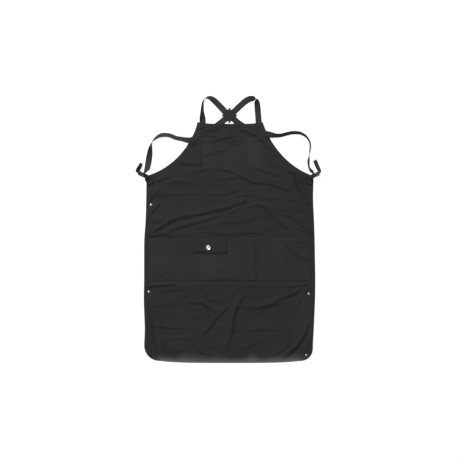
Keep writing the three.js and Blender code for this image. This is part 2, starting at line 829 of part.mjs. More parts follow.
const flapButton = piece('flap_button', latheGeometry(buttonProfile, button.sides), silverMetal);
flapButton.position.set(button.x, button.y, flapLow + canvasWall + seatGap);
apron.add(flapButton);

snaps.forEach((snap) => {
  const stud = piece(snap.name, latheGeometry(snapProfile, snapSides), darkMetal);
  const clothTop = canvasWall + hem.extra * hemShare(snap.x, snap.y);
  stud.position.set(snap.x, snap.y, clothTop + seatGap);
  apron.add(stud);
});

apron.position.set(frameShift.x, frameShift.y, 0);

const part = new THREE.Group();
part.add(apron);

export default part;
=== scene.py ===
import math
from collections import namedtuple
from functools import partial

import bpy
import numpy as np
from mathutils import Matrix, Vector
from mathutils.geometry import delaunay_2d_cdt


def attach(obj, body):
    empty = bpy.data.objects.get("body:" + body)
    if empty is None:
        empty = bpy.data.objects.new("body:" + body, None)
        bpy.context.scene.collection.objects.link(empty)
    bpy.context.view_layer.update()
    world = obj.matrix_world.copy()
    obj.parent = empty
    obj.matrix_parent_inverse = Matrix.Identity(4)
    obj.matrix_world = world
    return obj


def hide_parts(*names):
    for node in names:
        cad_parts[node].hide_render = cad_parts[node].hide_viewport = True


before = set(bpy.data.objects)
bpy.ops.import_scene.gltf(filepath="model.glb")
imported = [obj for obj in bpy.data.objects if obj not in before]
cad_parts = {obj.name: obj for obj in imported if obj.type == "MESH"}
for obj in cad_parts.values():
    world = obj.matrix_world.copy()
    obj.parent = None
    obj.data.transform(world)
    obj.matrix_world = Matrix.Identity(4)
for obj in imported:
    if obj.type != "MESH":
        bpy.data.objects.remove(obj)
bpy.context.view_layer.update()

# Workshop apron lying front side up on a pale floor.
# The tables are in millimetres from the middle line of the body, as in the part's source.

MILLIMETRE = 0.001
FRAME_SHIFT = np.array([6.9, 0.0, 0.0])

# Cloth and webbing
CLOTH = 1.2
LAYER_GAP = 0.15
HEM_WIDTH = 12.0
HEM_SLOPE = 1.4
HEM_EXTRA = 0.8
WEBBING_WIDTH = 22.0
WEBBING_THICK = 1.4
WEBBING_NAP = 0.6

# Outline of the body
BIB_TOP = 408.0
BIB_HALF = 124.0
BIB_DIP = 7.0
BIB_DIP_REACH = 55.0
ARMHOLE = np.array([(124.0, 408.0), (127.0, 388.0), (173.0, 252.5), (317.0, 203.0)])
SIDE_ROWS = np.array([
    # y, left, right
    (203, -317, 317),
    (112, -318, 315),
    (36, -320, 319),
    (-40, -326, 321.5),
    (-192, -326, 324),
    (-268, -327.5, 323),
    (-382, -323, 318),
    (-441, -326, 314.5),
    (-470, -326, 314),
])
SKIRT_BOTTOM = -499.0
ARM_SHIFT = 2.5
# Direction across, column of the rows, corner radius, sink of the armhole
LEFT_SIDE = (-1, 1, 58.0, 2.0)
RIGHT_SIDE = (1, 2, 46.0, 0.3)
SKIRT_BOW = 8.0
SKIRT_BOW_REACH = 120.0
BOTTOM_HALF = 268.0

# Hem of the body: inset of its stitches, depth and width of their groove and of the rounded edge
HEM_INSET = 2.0
HEM_GROOVE = (0.3, 1.1)
HEM_ROUND = (0.35, 0.8)
HEM_FOLD_SHARE = 0.2
HEM_FOLD_REACH = 18.0
# Puckers beside stitching: wave length, wander and its cell, rise, middle and reach across
HEM_PUCKER = (10.5, 2.5, 37, 0.22, HEM_WIDTH, 5.5)
SEAM_PUCKER = (9.5, 2.2, 31, 0.16, 9, 6)
HEM_SEED = 31
# Painted highlight along the bottom hem: a paler rim, strongest at its edge, where the edge catches the
# light
HIGHLIGHT_HEIGHT = 45.0
HIGHLIGHT_REACH = 44.0
HIGHLIGHT_OVERHANG = 30.0
HIGHLIGHT_SIDES = 50.0
HIGHLIGHT_POWER = 2.8

# Folds: height of the drop across the line, half its width, the reach of the gentle slope on the lit
# side, and the places that the line runs through
BODY_FOLDS = [
    # across the front above the panel
    (3.6, 7, 28, (-310, -20), (-276, -2), (-243, 19), (-195, 41), (-150, 50), (-100, 60)),
    (2.8, 5, 26, (-125, 55), (-100, 60), (-45, 71), (0, 83), (36, 99), (66, 114)),
    (1.7, 4, 14, (-20, 66), (5, 65), (27, 76), (42, 88), (55, 102), (66, 114)),
    (2.8, 6, 20, (-240, -11), (-190, 6), (-150, 19), (-115, 28), (-80, 36), (-50, 45)),
    (1.6, 5, 14, (-312, 30), (-290, 27), (-262, 28)),
    (3.0, 5, 16, (-316, -31), (-293, -26), (-270, -20), (-251, -19), (-222, -24)),
    (3.4, 6, 24, (74, 82), (100, 90), (120, 90), (138, 80), (150, 63), (162, 46), (180, 28),
     (205, 8), (240, -8)),
    (1.5, 8, 22, (-45, 25), (0, 28), (45, 31), (85, 40)),
    (1.6, 4, 12, (-108, -9), (-65, -15), (-36, -18), (-10, -20), (25, -17)),
    (2.0, 4, 14, (44, -16), (82, -16), (108, -19), (132, -22)),
    (0.8, 5, 14, (-135, 6), (-105, 7), (-70, 4)),
    (2.0, 7, 18, (200, 52), (228, 49), (255, 42), (275, 30)),
    (2.8, 4.5, 14, (236, 40), (260, 26), (285, 8), (310, -14)),
    (1.8, 4.5, 12, (262, 2), (281, -9), (306, -24)),
    # between the chest pockets and the waist
    (2.0, 4.5, 16, (-150, 220), (-115, 220), (-99, 227), (-80, 231), (-60, 237)),
    (2.4, 4.5, 16, (-58, 231), (-32, 227), (0, 218), (28, 208), (53, 193), (84, 181), (118, 175)),
    (1.8, 5, 20, (-50, 191), (-10, 190), (11, 196), (40, 197), (61, 190), (82, 180), (98, 173), (130, 171)),
    (2.2, 4, 14, (80, 234), (113, 228), (144, 219), (168, 208), (192, 202)),
    (1.3, 5, 16, (120, 192), (154, 184), (180, 178), (200, 168)),
    (2.2, 4, 16, (105, 177), (144, 173), (171, 164), (192, 157), (215, 150), (235, 139)),
    (5.2, 4.5, 22, (214, 229), (234, 216), (250, 203), (259, 180), (267, 157), (274, 138), (280, 122)),
    (1.6, 5, 16, (184, 110), (220, 109), (252, 106), (266, 94), (276, 76), (285, 51), (293, 26)),
    (2.4, 5, 16, (-215, 203), (-240, 193), (-268, 185), (-285, 172), (-296, 150), (-301, 130)),
    (1.8, 4, 11, (-268, 148), (-280, 136), (-292, 122), (-302, 110)),
    (2.4, 4.5, 12, (-266, 96), (-276, 86), (-288, 72), (-303, 54)),
    (0.9, 3, 11, (-262, 117), (-230, 116), (-190, 115), (-116, 114)),
    (1.3, 5, 14, (-278, 128), (-240, 129), (-200, 130), (-150, 131), (-108, 128)),
    (1.8, 4, 14, (-98, 127), (-60, 129), (-20, 131), (10, 139), (38, 152)),
    (1.8, 8, 20, (-245, 168), (-222, 175), (-200, 178), (-170, 180), (-140, 173)),
    (0.9, 5, 13, (-240, 150), (-209, 158), (-154, 162), (-130, 158)),
    (1.8, 4, 14, (84, 112), (110, 115), (140, 115), (165, 113)),
    (2.0, 4, 13, (20, 127), (70, 130), (110, 126), (150, 122), (185, 119)),
    (0.7, 5, 14, (5, 150), (40, 149), (90, 150)),
    # skirt
    (3.4, 5, 14, (-324, -221), (-297, -216), (-255, -214), (-205, -210)),
    (1.4, 6, 16, (-246, -237), (-213, -230), (-172, -228)),
    (0.7, 4, 13, (-195, -253), (-170, -254), (-145, -252)),
    (1.4, 3.5, 12, (-122, -206), (-103, -230), (-91, -247), (-86, -268)),
    (1.1, 6, 16, (-88, -272), (-55, -272), (-20, -280)),
    (2.6, 5, 16, (-150, -278), (-114, -283), (-88, -295), (-62, -310)),
    (1.2, 5, 13, (-118, -276), (-103, -281), (-92, -292)),
    (0.8, 3.5, 11, (-150, -304), (-112, -304)),
    (0.8, 3.5, 11, (-95, -307), (-75, -311), (-58, -313)),
    (2.7, 5.5, 22, (0, -287), (-18, -305), (-36, -323), (-53, -342), (-70, -367),
     (-86, -386), (-101, -401)),
    (3.0, 6.5, 28, (62, -252), (45, -266), (34, -286), (24, -306), (17, -330), (10, -360),
     (3, -400), (-5, -435), (-14, -465)),
    (1.0, 4, 11, (34, -222), (22, -236), (8, -250)),
    (3.0, 6.5, 32, (304, -198), (272, -223), (251, -244), (226, -253), (200, -259), (171, -279),
     (146, -291), (116, -299), (82, -302), (48, -299)),
    (1.8, 7, 14, (205, -270), (185, -285), (160, -293)),
    (1.0, 3, 10, (86, -313), (105, -314), (128, -312)),
    (1.8, 4, 18, (60, -382), (91, -382), (129, -379), (158, -382), (184, -388)),
    (0.8, 4, 13, (0, -381), (22, -382), (45, -380)),
    (1.4, 4, 16, (-278, -368), (-247, -373), (-205, -375), (-172, -370)),
    (3.2, 7, 16, (-319, -298), (-310, -323), (-302, -357), (-297, -395), (-289, -428),
     (-281, -454), (-268, -474)),
    (2.6, 5, 16, (-258, -412), (-243, -440), (-227, -468), (-211, -488)),
    (2.4, 5.5, 16, (-178, -413), (-148, -419), (-132, -440), (-114, -464), (-82, -470)),
    (0.9, 4, 13, (-205, -468), (-185, -459), (-165, -452)),
    (4.0, 7, 20, (298, -362), (286, -395), (266, -427), (250, -450), (226, -471), (200, -484)),
    (2.0, 5, 14, (228, -434), (209, -446), (192, -462), (164, -478)),
    (1.6, 4, 11, (266, -273), (258, -284), (252, -294)),
    (1.2, 6, 15, (50, -447), (78, -442), (102, -431)),
    (0.9, 4, 11, (36, -220), (90, -217), (145, -220)),
    (2.2, 4.5, 13, (212, -215), (248, -215), (280, -208), (304, -197)),
    # bib
    (2.8, 4, 13, (30, 373), (53, 375), (67, 373), (79, 367), (89, 361), (102, 357)),
    (2.4, 3.5, 12, (60, 370), (82, 358), (98, 347), (116, 338), (136, 322)),
    (3.2, 5.5, 16, (110, 346), (118, 338), (126, 327), (136, 319), (148, 315), (158, 304), (172, 285)),
    (2.4, 4.5, 13, (-118, 377), (-106, 382), (-94, 388)),
    (2.6, 6, 16, (-112, 364), (-95, 370), (-75, 375), (-50, 380)),
    (1.4, 5, 13, (-118, 353), (-90, 353), (-62, 352)),
    (2.4, 4, 13, (-58, 333), (-42, 340), (-30, 343), (-13, 347), (5, 347)),
    (2.2, 4, 13, (-8, 392), (2, 376), (14, 356)),
    (1.8, 5, 13, (-153, 303), (-142, 317), (-133, 329), (-124, 341)),
    (2.6, 6, 16, (-185, 253), (-153, 248), (-115, 247), (-98, 247)),
]
PANEL_FOLDS = [
    (1.8, 4, 14, (195, -42), (215, -65), (240, -86), (272, -104), (306, -121)),
    (1.4, 3, 9, (262, -42), (285, -55), (306, -68)),
    (1.4, 3.2, 10, (-306, -142), (-288, -157), (-272, -171), (-256, -186)),
    (1.3, 3.2, 10, (-254, -154), (-238, -168), (-224, -182), (-214, -194)),
]
PATCH_FOLDS = [
    (1.5, 4.5, 24, (94.5, -22), (95.5, -80), (97, -140), (98, -215)),
]
FLAP_FOLDS = [
    (1.2, 3, 10, (-17, -26), (-17, -60), (-16, -104)),
    (1.5, 3.5, 10, (-145, -34), (-143, -60), (-138, -76), (-120, -84), (-96, -86)),
]
CHEST_FOLDS = [
    (1.4, 4, 12, (-26, 330), (-6, 328), (6, 321), (20, 321), (34, 324), (50, 328)),
    (1.4, 4, 12, (-90, 286), (-51, 291), (-28, 297)),
    (1.0, 5, 13, (-100, 283), (-90, 282), (-64, 282)),
]
# Form of a fold: the run-on is a length, and the rest are counts, gains and shares of the fold's own sizes
FOLD_SAMPLES = 8
FOLD_GAIN = 1.5
FOLD_SPREAD = 1.15
FOLD_END_SHARE = 0.34
FOLD_RUN_ON = 14.0
FOLD_MARGIN = 2.2
FOLD_END_WIDTH = 0.4
FOLD_VALLEY = 0.28
VALLEY_PLACE = 1.3
VALLEY_WIDTH = 0.9
GROOVE_TURN = 0.36
GROOVE_BLEND = 0.2
RIDGE_FOOT = 1.1
RIDGE_TOP = 3.0
RIDGE_SHARE = 0.8
# Painted shade darkens the cloth's colour along the creases: where it sits, how strong it grows with the
# fold's drop, its limits, and how much of it the pockets get
CREASE_SHADE_PLACE = 0.3
CREASE_SHADE_DROP = 2.4
CREASE_SHADE_STRONGEST = 1.5
CREASE_SHADE_DEEPEST = 2.0
POCKET_CREASE_SHADE = 1.7
LIT_NEAR = 0.5
LIT_NEAR_REACH = 0.45
LIGHT_SIDE = np.array([-0.4, 0.92])

# Noises: rise, cell across, cell along and seed
FOLD_WANDER = (2.5, 48, 42, 61)
WARP_ACROSS = (20, 120, 110, 1)
WARP_ALONG = (14, 105, 90, 2)
LONG_WAVES = (1.15, 115, 19, 3)
SHORT_WAVES = (0.55, 58, 11, 4)
SWELL = (1.5, 125, 85, 6)
SHARP_LINES = (1, 85, 30, 11)
SHARP_SHOWS = (1, 130, 110, 17)
SMALL_BUMPS = (0.12, 13, 11, 23)
SMALL_WAVES = (0.3, 30, 16, 24)
FINE_WAVES = (0.3, 64, 7.5, 5)
FLAP_WAVE = (0.5, 40, 60, 41)
HIGHLIGHT_UNEVEN = (0.3, 42, 1, 71)

# Crumpling: sharp creases are narrow and show in places, and the finest waves fade below the chest
CRUMPLE_RISE = 2.4
CRUMPLE_REACH = 26.0
FLAT_CRUMPLE = 0.35
SHARP_TURN = -24.0
SHARP_WIDTH = 0.15
SHARP_RISE = 0.7
SHARP_MIDDLE = 0.4
FINE_LEAST = 0.35
FINE_START = 20.0
FINE_FADE = 80.0

# Edge wear: share and reach
BODY_WEAR = (0.4, 1.8)
POCKET_WEAR = (0.12, 1.6)
# Broad paler patches: middle, reach across and along, share
PALER_PATCHES = [
    (288, -330, 42, 130, 0.24),
    (-78, -137, 62, 42, 0.24),
    (80, 285, 75, 65, 0.16),
    (-230, -120, 70, 70, 0.12),
    (0, -420, 260, 90, 0.08),
]

# Where the cloth stays flat: left, right, bottom, top, fade at the sides and at the ends
FLAT_ZONES = [
    (-340, 340, -199, -34, 1, 10),
    (-100, 115, 240, 326, 14, 10),
]
# Flat round the snaps and along the tabs, and raised over the straps: reach, and width of the fade
SNAP_FLAT = (9.0, 10.0)
TAB_FLAT = (17.0, 14.0)
STRAP_SHOW = (12.5, 9.0)
STRAP_CLEAR = 0.3
# Where the right tab is sewn on and where it leaves the body; the left one mirrors it
TAB_ROOT = (300.0, 173.0)
TAB_LEAVES = (320.0, 206.0)
# Straps behind the bib: half the width and lowest place of the search, and the steepest lean
BIB_REACH = (170.0, 330.0, 0.35)
BIB_MARGIN = 30.0

# Pockets and flap
PANEL_BOX = (-308.0, 306.5, -195.0, -31.0)
PANEL_SEAMS = [-308.0, -148.0, 98.0, 306.5]
PANEL_PUFFS = [3.5, 0.0, 4.0]
PATCH_BOX = (-148.0, 99.0, -192.0, -46.0)
PATCH_SEAMS = [-148.0, -11.0, 99.0]
PATCH_PUFFS = [0.0, 1.5]
FLAP_BOX = (-148.5, -11.4, -89.0, -36.0)
ChestPocket = namedtuple("ChestPocket", "node left right bottom top sag puff")
CHEST_POCKETS = [
    ChestPocket("pen_pocket_left", -102.5, -59.0, 235.5, 351.5, sag=0.0, puff=1.0),
    ChestPocket("chest_pocket", -57.0, 63.0, 235.5, 333.0, sag=5.0, puff=2.5),
    ChestPocket("pen_pocket_right", 64.5, 118.0, 235.5, 347.0, sag=0.0, puff=1.0),
]
# Sewing of the pockets: insets of the two rows beside a seam, groove, mouth hem and its rows
SEAM_INSETS = (2.5, 8.5)
SEAM_DEPTH = 0.2
SEAM_WIDTH = 1.1
MOUTH_HEM = 18.0
MOUTH_EXTRA = 0.75
MOUTH_SLOPE = 1.2
MOUTH_ROWS = (3.0, 15.5)
MOUTH_DEPTH = 0.25
MOUTH_WIDTH = 1.0
POCKET_ROUND = (0.3, 0.7)
FOLD_INSET = 12.0
FLAP_LIFT = 1.4
FLAP_STAND = 0.5
FLAP_STEP = 3.0
FLAP_CLEAR = 2.0
FLAP_EXTRA = 0.5
FLAP_ROW = 3.0
FLAP_GROOVE = 0.28
PANEL_SEED = 1
PATCH_SEED = 2
# Crumpling of the pockets: share, shift across and reach from the seams
PANEL_CRUMPLE = (0.35, 40, 24)
PATCH_CRUMPLE = (0.35, 80, 24)
FLAP_CRUMPLE = (0.3, 160, 20)
CHEST_CRUMPLE = (0.3, 300, 20)

# Meshes: rings inside the outline and cells of the field, and steps of the pocket grids
TOP_RINGS = [0.7, 2.2, 5.5, 9.0, 10.0, 11.0, 12.0, 13.4, 16.5]
TOP_CELL = 3.3
UNDER_RINGS = [2.5, 9.0]
UNDER_CELL = 9.0
FIELD_HALF = 340
FIELD_BELOW = 20
FIELD_ABOVE = 10
FIELD_GAP = 0.6
ROW_SHARE = 0.866
MERGE_REACH = 1e-5
FINE_REACH = 12
FINE_STEP = 1.0
POCKET_STEP = 3.2
FLAP_GRID_STEP = 2.4
CHEST_STEP = 2.8
CHEST_ROW_SHARES = (0.14, 0.009, 0.026)

# Straps: place of the middle, roll about the heading and height of the lowest edge
LEFT_TO_CLIP = [
    (-104, 388, 0, 0), (-104, 397, 0, 0), (-104, 414, 2, 0), (-104.5, 425, 24, 0),
    (-105, 437, 46, 0), (-105, 450, 60, 0), (-104, 469, 70, 0), (-101.5, 484.5, 80, 0),
    (-94.5, 496, 97, 0), (-76, 498.5, 142, 0), (-60, 489.5, 168, 0.3), (-44, 473.8, 180, 1.8),
    (-30, 459, 180, 3.7),
]
LEFT_TO_SLIDER = [
    (27, 407.6, 180, 3), (43, 396.8, 180, 1.2), (59, 386.8, 180, 0.2), (99, 373, 180, 0),
    (125, 366, -180, 0), (148, 360.8, -172, 0), (161, 358, -146, 0), (176, 355.9, -126, 0),
    (195, 357, -121, 0), (209, 360.8, -120, 0), (235, 366.6, -118, 0), (254, 366.8, -116, 0),
    (265, 365.2, -112, 0), (274, 361.8, -109, 0), (285, 355.2, -105, 0), (293.8, 346.4, -100, 0),
    (300.2, 336, -98, 0), (303.8, 324, -98, 0), (304, 311, -98, 0), (302.6, 296, -95, 0),
    (300.6, 281, -86, 0), (298.4, 266, -69, 0), (297.6, 254, -66, 0.3), (298.4, 241.5, -72, 1),
    (302.2, 230, -66, 2), (309, 220.5, -50, 3.2),
]
LEFT_TAIL = [
    (339, 221, -66, 2.6), (335.2, 230, -60, 1.5), (331, 239, -57, 0.5), (326.4, 250, -57, 0),
    (323.2, 259, -58, 0), (321.8, 263, -58, 0),
]
RIGHT_TO_CLIP = [
    (110, 388, 0, 0), (109.3, 397, 0, 0), (108.5, 414, 0, 0), (106.3, 442.5, 4, 0),
    (104.4, 465.5, 12, 0), (102.4, 480.5, 22, 0), (99, 489.5, 42, 0), (92, 495, 132, 0),
    (77, 496, 158, 0), (62.5, 489.5, 172, 0), (52, 481.5, 180, 0.3), (37, 468, 180, 1),
]
RIGHT_TO_SLIDER = [
    (-31.5, 408.3, 180, 0.7), (-45.5, 397.7, 180, 0.2), (-61, 386.5, 180, 0), (-102.5, 368.5, -180, 0),
    (-133, 345, -180, 0), (-152, 338.5, -174, 0), (-166, 339.8, -153, 0), (-181, 342.8, -140, 0),
    (-205, 347.4, -136, 0), (-221, 354, -135, 0), (-235.5, 358, -135, 0), (-256, 358.3, -137, 0),
    (-270, 354, -130, 0), (-284.5, 343.4, -116, 0), (-294.7, 331.5, -97, 0), (-298.8, 321, -79, 0),
    (-301.6, 309.5, -61, 0), (-304.7, 287, -30, 0), (-307.5, 270, -5, 0), (-310.3, 252.5, 3, 0.2),
    (-312.2, 241.5, 14, 0.9), (-314.6, 230, 26, 2), (-319.5, 219.5, 60, 2.8),
]
RIGHT_TAIL = [
    (-350, 220.5, 62, 2.6), (-347.5, 228, 54, 1.5), (-343, 235.5, 56, 0.5), (-339, 243, 61, 0),
    (-336.8, 252, 65, 0),
]
STRAP_SEWN_Y = 388.5
STRAP_SEWN_SIDE = 17.0
CLIP_PLACE = (-2.0, 433.0)
CLIP_ANGLE = 40.0
# Heights of the left and the right strap in the clip
CLIP_HEIGHTS = (5.0, 2.0)
CLIP_PASS = 25.0

# Sliders and the tabs that hold them
SLIDER_HEIGHT = 13.6
SLIDER_LEAN = 62.0
SLIDER_CLIMB = 25.0
# Side and place of each slider, and places along and out of it where the strap is threaded
SLIDER_PLACES = {"left": (-1, -337.4, 210.9), "right": (1, 327.6, 208.6)}
SLIDER_THREAD = [
    (-10.2, 6.6), (-8.4, 3.1), (-6.4, 2.3), (-4, 0), (-1.6, -2.3), (0, -2.45), (1.6, -2.3), (4, 0),
    (6.3, 2.25), (8, 2.6), (10, 3.1),
]
# Share of the way to the slider, lean, and half the gap between the two layers of a tab
TAB_ROWS = [(0, 0, 0.9), (0.4, 4, 0.95), (0.75, 34, 1.5)]
TAB_ENTRY = -20.0
TAB_MIDDLE = -12.9
TAB_SPREAD = 2.25
TAB_REACH = 2.2
TAB_ANGLES = [-60, -30, 0, 30, 60]
TAB_SEAT = 2.45

# Fasteners
BUTTON_PLACE = (-82.5, -68.5)
BLACK_SNAPS = ("snap_left_hem", "snap_right_upper")
SNAP_PLACES = {
    "snap_left_upper": (-300, 93),
    "snap_left_lower": (-308, -237.5),
    "snap_left_hem": (-303, -478),
    "snap_right_upper": (298, 93),
    "snap_right_lower": (300, -245),
    "snap_right_hem": (290, -478),
}


# Small helpers
NOISE_SIZE = 256


def smooth(value):
    value = np.clip(value, 0.0, 1.0)
    return value * value * (3.0 - 2.0 * value)


def bell(value, middle, reach):
    return np.exp(-((value - middle) / reach) ** 2)


def unit(vectors):
    return vectors / np.linalg.norm(vectors, axis=-1, keepdims=True)


def noise(x, y, rise, cell_x, cell_y, seed):
    """Smooth noise from -rise to rise over cells of the given size."""
    grid = np.random.default_rng(seed).uniform(-1, 1, (NOISE_SIZE, NOISE_SIZE))
    across = np.asarray(x) / cell_x + NOISE_SIZE / 2
    along = np.asarray(y) / cell_y + NOISE_SIZE / 2
    column = np.floor(across).astype(int)
    row = np.floor(along).astype(int)
    share_x = smooth(across - column)
    share_y = smooth(along - row)
    left, right = column % NOISE_SIZE, (column + 1) % NOISE_SIZE
    low, high = row % NOISE_SIZE, (row + 1) % NOISE_SIZE
    lower = grid[low, left] * (1 - share_x) + grid[low, right] * share_x
    upper = grid[high, left] * (1 - share_x) + grid[high, right] * share_x
    return rise * (lower * (1 - share_y) + upper * share_y)


def from_least(least, share):
    """Grows from the least value to one while the share grows from nought to one."""
    return least + (1 - least) * share


def turned(x, y, degrees):
    angle = math.radians(degrees)
    return x * math.cos(angle) + y * math.sin(angle), y * math.cos(angle) - x * math.sin(angle)


def to_edge(x, y, left, right, bottom, top=math.inf):
    """Distance to the nearest side of a box, from inside it."""
    return np.minimum.reduce([x - left, right - x, y - bottom, top - y])


# Meshes
BODY_BULGE = 0.4
POCKET_BULGE = 0.35


def add_piece(name, mesh, material, replaced=None):
    mesh.materials.clear()
    mesh.materials.append(material)
    piece = bpy.data.objects.new(name, mesh)
    bpy.context.scene.collection.objects.link(piece)
    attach(piece, "root")
    if replaced:
        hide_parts(replaced)
    return piece


def make_piece(name, points, faces, material, replaced=None):
    mesh = bpy.data.meshes.new(name)
    placed = (np.asarray(points, float) + FRAME_SHIFT) * MILLIMETRE
    mesh.from_pydata(placed.tolist(), [], [tuple(face) for face in faces])
    mesh.validate()
    mesh.shade_smooth()
    return add_piece(name, mesh, material, replaced)


def point_values(piece, name, *parts):
    """Stores one value for each point: parts are arrays, in the order of the points."""
    layer = piece.data.attributes.new(name, "FLOAT", "POINT")
    layer.data.foreach_set("value", np.concatenate(parts).astype(np.float32))


def rim_faces(top_loop, middle_start, bottom_loop):
    """Faces of a rounded edge between two loops of the same length, with one row of points between."""
    count = len(top_loop)
    faces = []
    for place in range(count):
        after = (place + 1) % count
        middle, middle_after = middle_start + place, middle_start + after
        faces.append((top_loop[after], top_loop[place], middle, middle_after))
        faces.append((middle_after, middle, bottom_loop[place], bottom_loop[after]))
    return faces


def outward(loop_points):
    """Unit vectors that point out of a loop that runs anticlockwise, seen from above."""
    along = np.roll(loop_points, -1, axis=0) - np.roll(loop_points, 1, axis=0)
    along = unit(along[:, :2])
    return np.stack([along[:, 1], -along[:, 0], np.zeros(len(along))], axis=1)


def edge_middles(top_points, bottom_points, bulge):
    return (top_points + bottom_points) / 2 + outward(top_points) * bulge


def grid_cloth(node, grid, parts, folds, material):
    """Closed cloth that stands for a node, over a grid whose rows run from bottom to top."""
    x, y = grid
    low, high = parts(x, y)
    top = np.stack([x, y, high], axis=2).reshape(-1, 3)
    bottom = np.stack([x, y, low], axis=2).reshape(-1, 3)
    under = len(top)
    index = np.arange(under).reshape(x.shape)
    a, b = index[:-1, :-1].ravel(), index[:-1, 1:].ravel()
    c, d = index[1:, 1:].ravel(), index[1:, :-1].ravel()
    faces = np.stack([a, b, c, d], axis=1).tolist()
    faces += (np.stack([a, d, c, b], axis=1) + under).tolist()
    loop = np.concatenate([index[0, :-1], index[:-1, -1], index[-1, :0:-1], index[:0:-1, 0]])
    middles = edge_middles(top[loop], bottom[loop], POCKET_BULGE)
    faces += rim_faces(loop.tolist(), 2 * under, (loop + under).tolist())
    points = np.concatenate([top, bottom, middles])
    piece = make_piece(node + "_cloth", points, faces, material, node)
    most, reach = POCKET_WEAR
    wear = most * bell(to_edge(x, y, x.min(), x.max(), y.min(), y.max()), 0, reach) + paler_patches(x, y)
    point_values(piece, "wear", wear.ravel(), np.zeros(under), np.full(len(middles), most))
    # Painted shade in the pockets' creases, stored as the crease attribute
    crease_shade = POCKET_CREASE_SHADE * folded(folds, x, y)[1]
    point_values(piece, "crease", crease_shade.ravel(), np.zeros(under + len(middles)))
    return piece


def paler_patches(x, y):
    """Share of paler colour on the broad paler patches."""
    return sum(most * bell(x, middle_x, reach_x) * bell(y, middle_y, reach_y)
               for middle_x, middle_y, reach_x, reach_y, most in PALER_PATCHES)


def spaced(seams, start, end, fine_reach, fine, coarse):
    """Grid lines from start to end, close together near each seam."""
    lines = [start]
    while lines[-1] < end:
        nearest = min(abs(lines[-1] - seam) for seam in seams)
        step = fine if nearest < fine_reach else min(coarse, max(fine, nearest - fine_reach + fine))
        lines.append(lines[-1] + step)
    stretch = (end - start) / (lines[-1] - start)
    return start + (np.array(lines) - start) * stretch


# Webbing routes
SECTION_STEP = 2.5
TWIST_STEP = 5.0


def catmull_rom(points, index, share):
    """Point on the centripetal curve between points index and index + 1."""
    first = points[index - 1] if index > 0 else 2 * points[0] - points[1]
    last = points[index + 2] if index + 2 < len(points) else 2 * points[-1] - points[-2]
    start, end = points[index], points[index + 1]
    gaps = [np.linalg.norm(start - first), np.linalg.norm(end - start), np.linalg.norm(last - end)]
    before, between, after = [math.sqrt(gap) for gap in gaps]
    leave = (start - first) / before - (end - first) / (before + between) + (end - start) / between
    arrive = (end - start) / between - (last - start) / (between + after) + (last - end) / after
    leave = leave * between
    arrive = arrive * between
    square = -3 * start + 3 * end - 2 * leave - arrive
    cube = 2 * start - 2 * end + leave + arrive
    return start + leave * share + square * share ** 2 + cube * share ** 3


def half_rise(wide_z, thick_z):
    """Half the height that a leaning section of webbing takes up."""
    return np.abs(wide_z) * WEBBING_WIDTH / 2 + np.abs(thick_z) * WEBBING_THICK / 2


def route_sections(stations):
    """Middles, width directions and thickness directions of the sections along a route."""
    centres = [np.array(centre, float) for centre, wide in stations]
    wides = [np.array(wide, float) for centre, wide in stations]
    middles = []
    directions = []
    for index in range(len(stations) - 1):
        span = np.linalg.norm(centres[index + 1] - centres[index])
        cosine = np.clip(np.dot(unit(wides[index]), unit(wides[index + 1])), -1, 1)
        twist = math.degrees(math.acos(cosine))
        steps = max(1, math.ceil(span / SECTION_STEP), math.ceil(twist / TWIST_STEP))
        for step in range(steps):
            share = step / steps
            middles.append(catmull_rom(centres, index, share))
            directions.append(wides[index] * (1 - share) + wides[index + 1] * share)
    middles = np.array(middles + [centres[-1]])
    directions = np.array(directions + [wides[-1]])
    padded = np.concatenate([middles[:1], middles, middles[-1:]])
    along = unit(padded[2:] - padded[:-2])
    directions = unit(directions - along * np.sum(directions * along, axis=1, keepdims=True))
    thicks = np.cross(along, directions)
    middles[:, 2] = np.maximum(middles[:, 2], half_rise(directions[:, 2], thicks[:, 2]))
    return middles, directions, thicks


def strap_stations(rows):
    """A route row becomes a station once its heading is known from its neighbours."""
    places = [row[:2] if len(row) == 4 else row[0][:2] for row in rows]
    stations = []
    for index, row in enumerate(rows):
        if len(row) == 2:
            stations.append(row)
            continue
        before = np.array(places[max(0, index - 1)], float)
        after = np.array(places[min(len(rows) - 1, index + 1)], float)
        heading = unit(after - before)
        x, y, roll, lift = row
        cosine, sine = math.cos(math.radians(roll)), math.sin(math.radians(roll))
        wide = (-heading[1] * cosine, heading[0] * cosine, sine)
        stations.append(((x, y, lift + half_rise(sine, cosine)), wide))
    return stations


def clip_pass(degrees, height):
    """Route rows straight through the clip."""
    angle = math.radians(degrees)
    return [(CLIP_PLACE[0] + distance * math.cos(angle), CLIP_PLACE[1] + distance * math.sin(angle),
             180, height - WEBBING_THICK / 2) for distance in (-CLIP_PASS, 0, CLIP_PASS)]


def leaning_width(along, side, degrees):
    lean = math.radians(degrees)
    flat = np.array([along[1], -along[0], 0.0]) * side * math.cos(lean)
    return flat + np.array([0, 0, math.sin(lean)])


class SliderFrame:
    """Directions of a slider: along the strap, across its width, and out of its upper side."""

    def __init__(self, side, x, y):
        climb = math.radians(SLIDER_CLIMB)
        self.side = side
        self.centre = np.array([x, y, SLIDER_HEIGHT])
        self.along = np.array([side * math.cos(climb), math.sin(climb), 0.0])
        self.wide = leaning_width(self.along, side, SLIDER_LEAN)
        self.out = np.cross(self.wide, self.along) * side

    def point(self, along, out):
        return self.centre + self.along * along + self.out * out

    def thread(self, turn):
        """Stations through the slots; turn is -1 where the band arrives with its edges swapped."""
        return [(self.point(along, out), self.wide * turn) for along, out in SLIDER_THREAD]


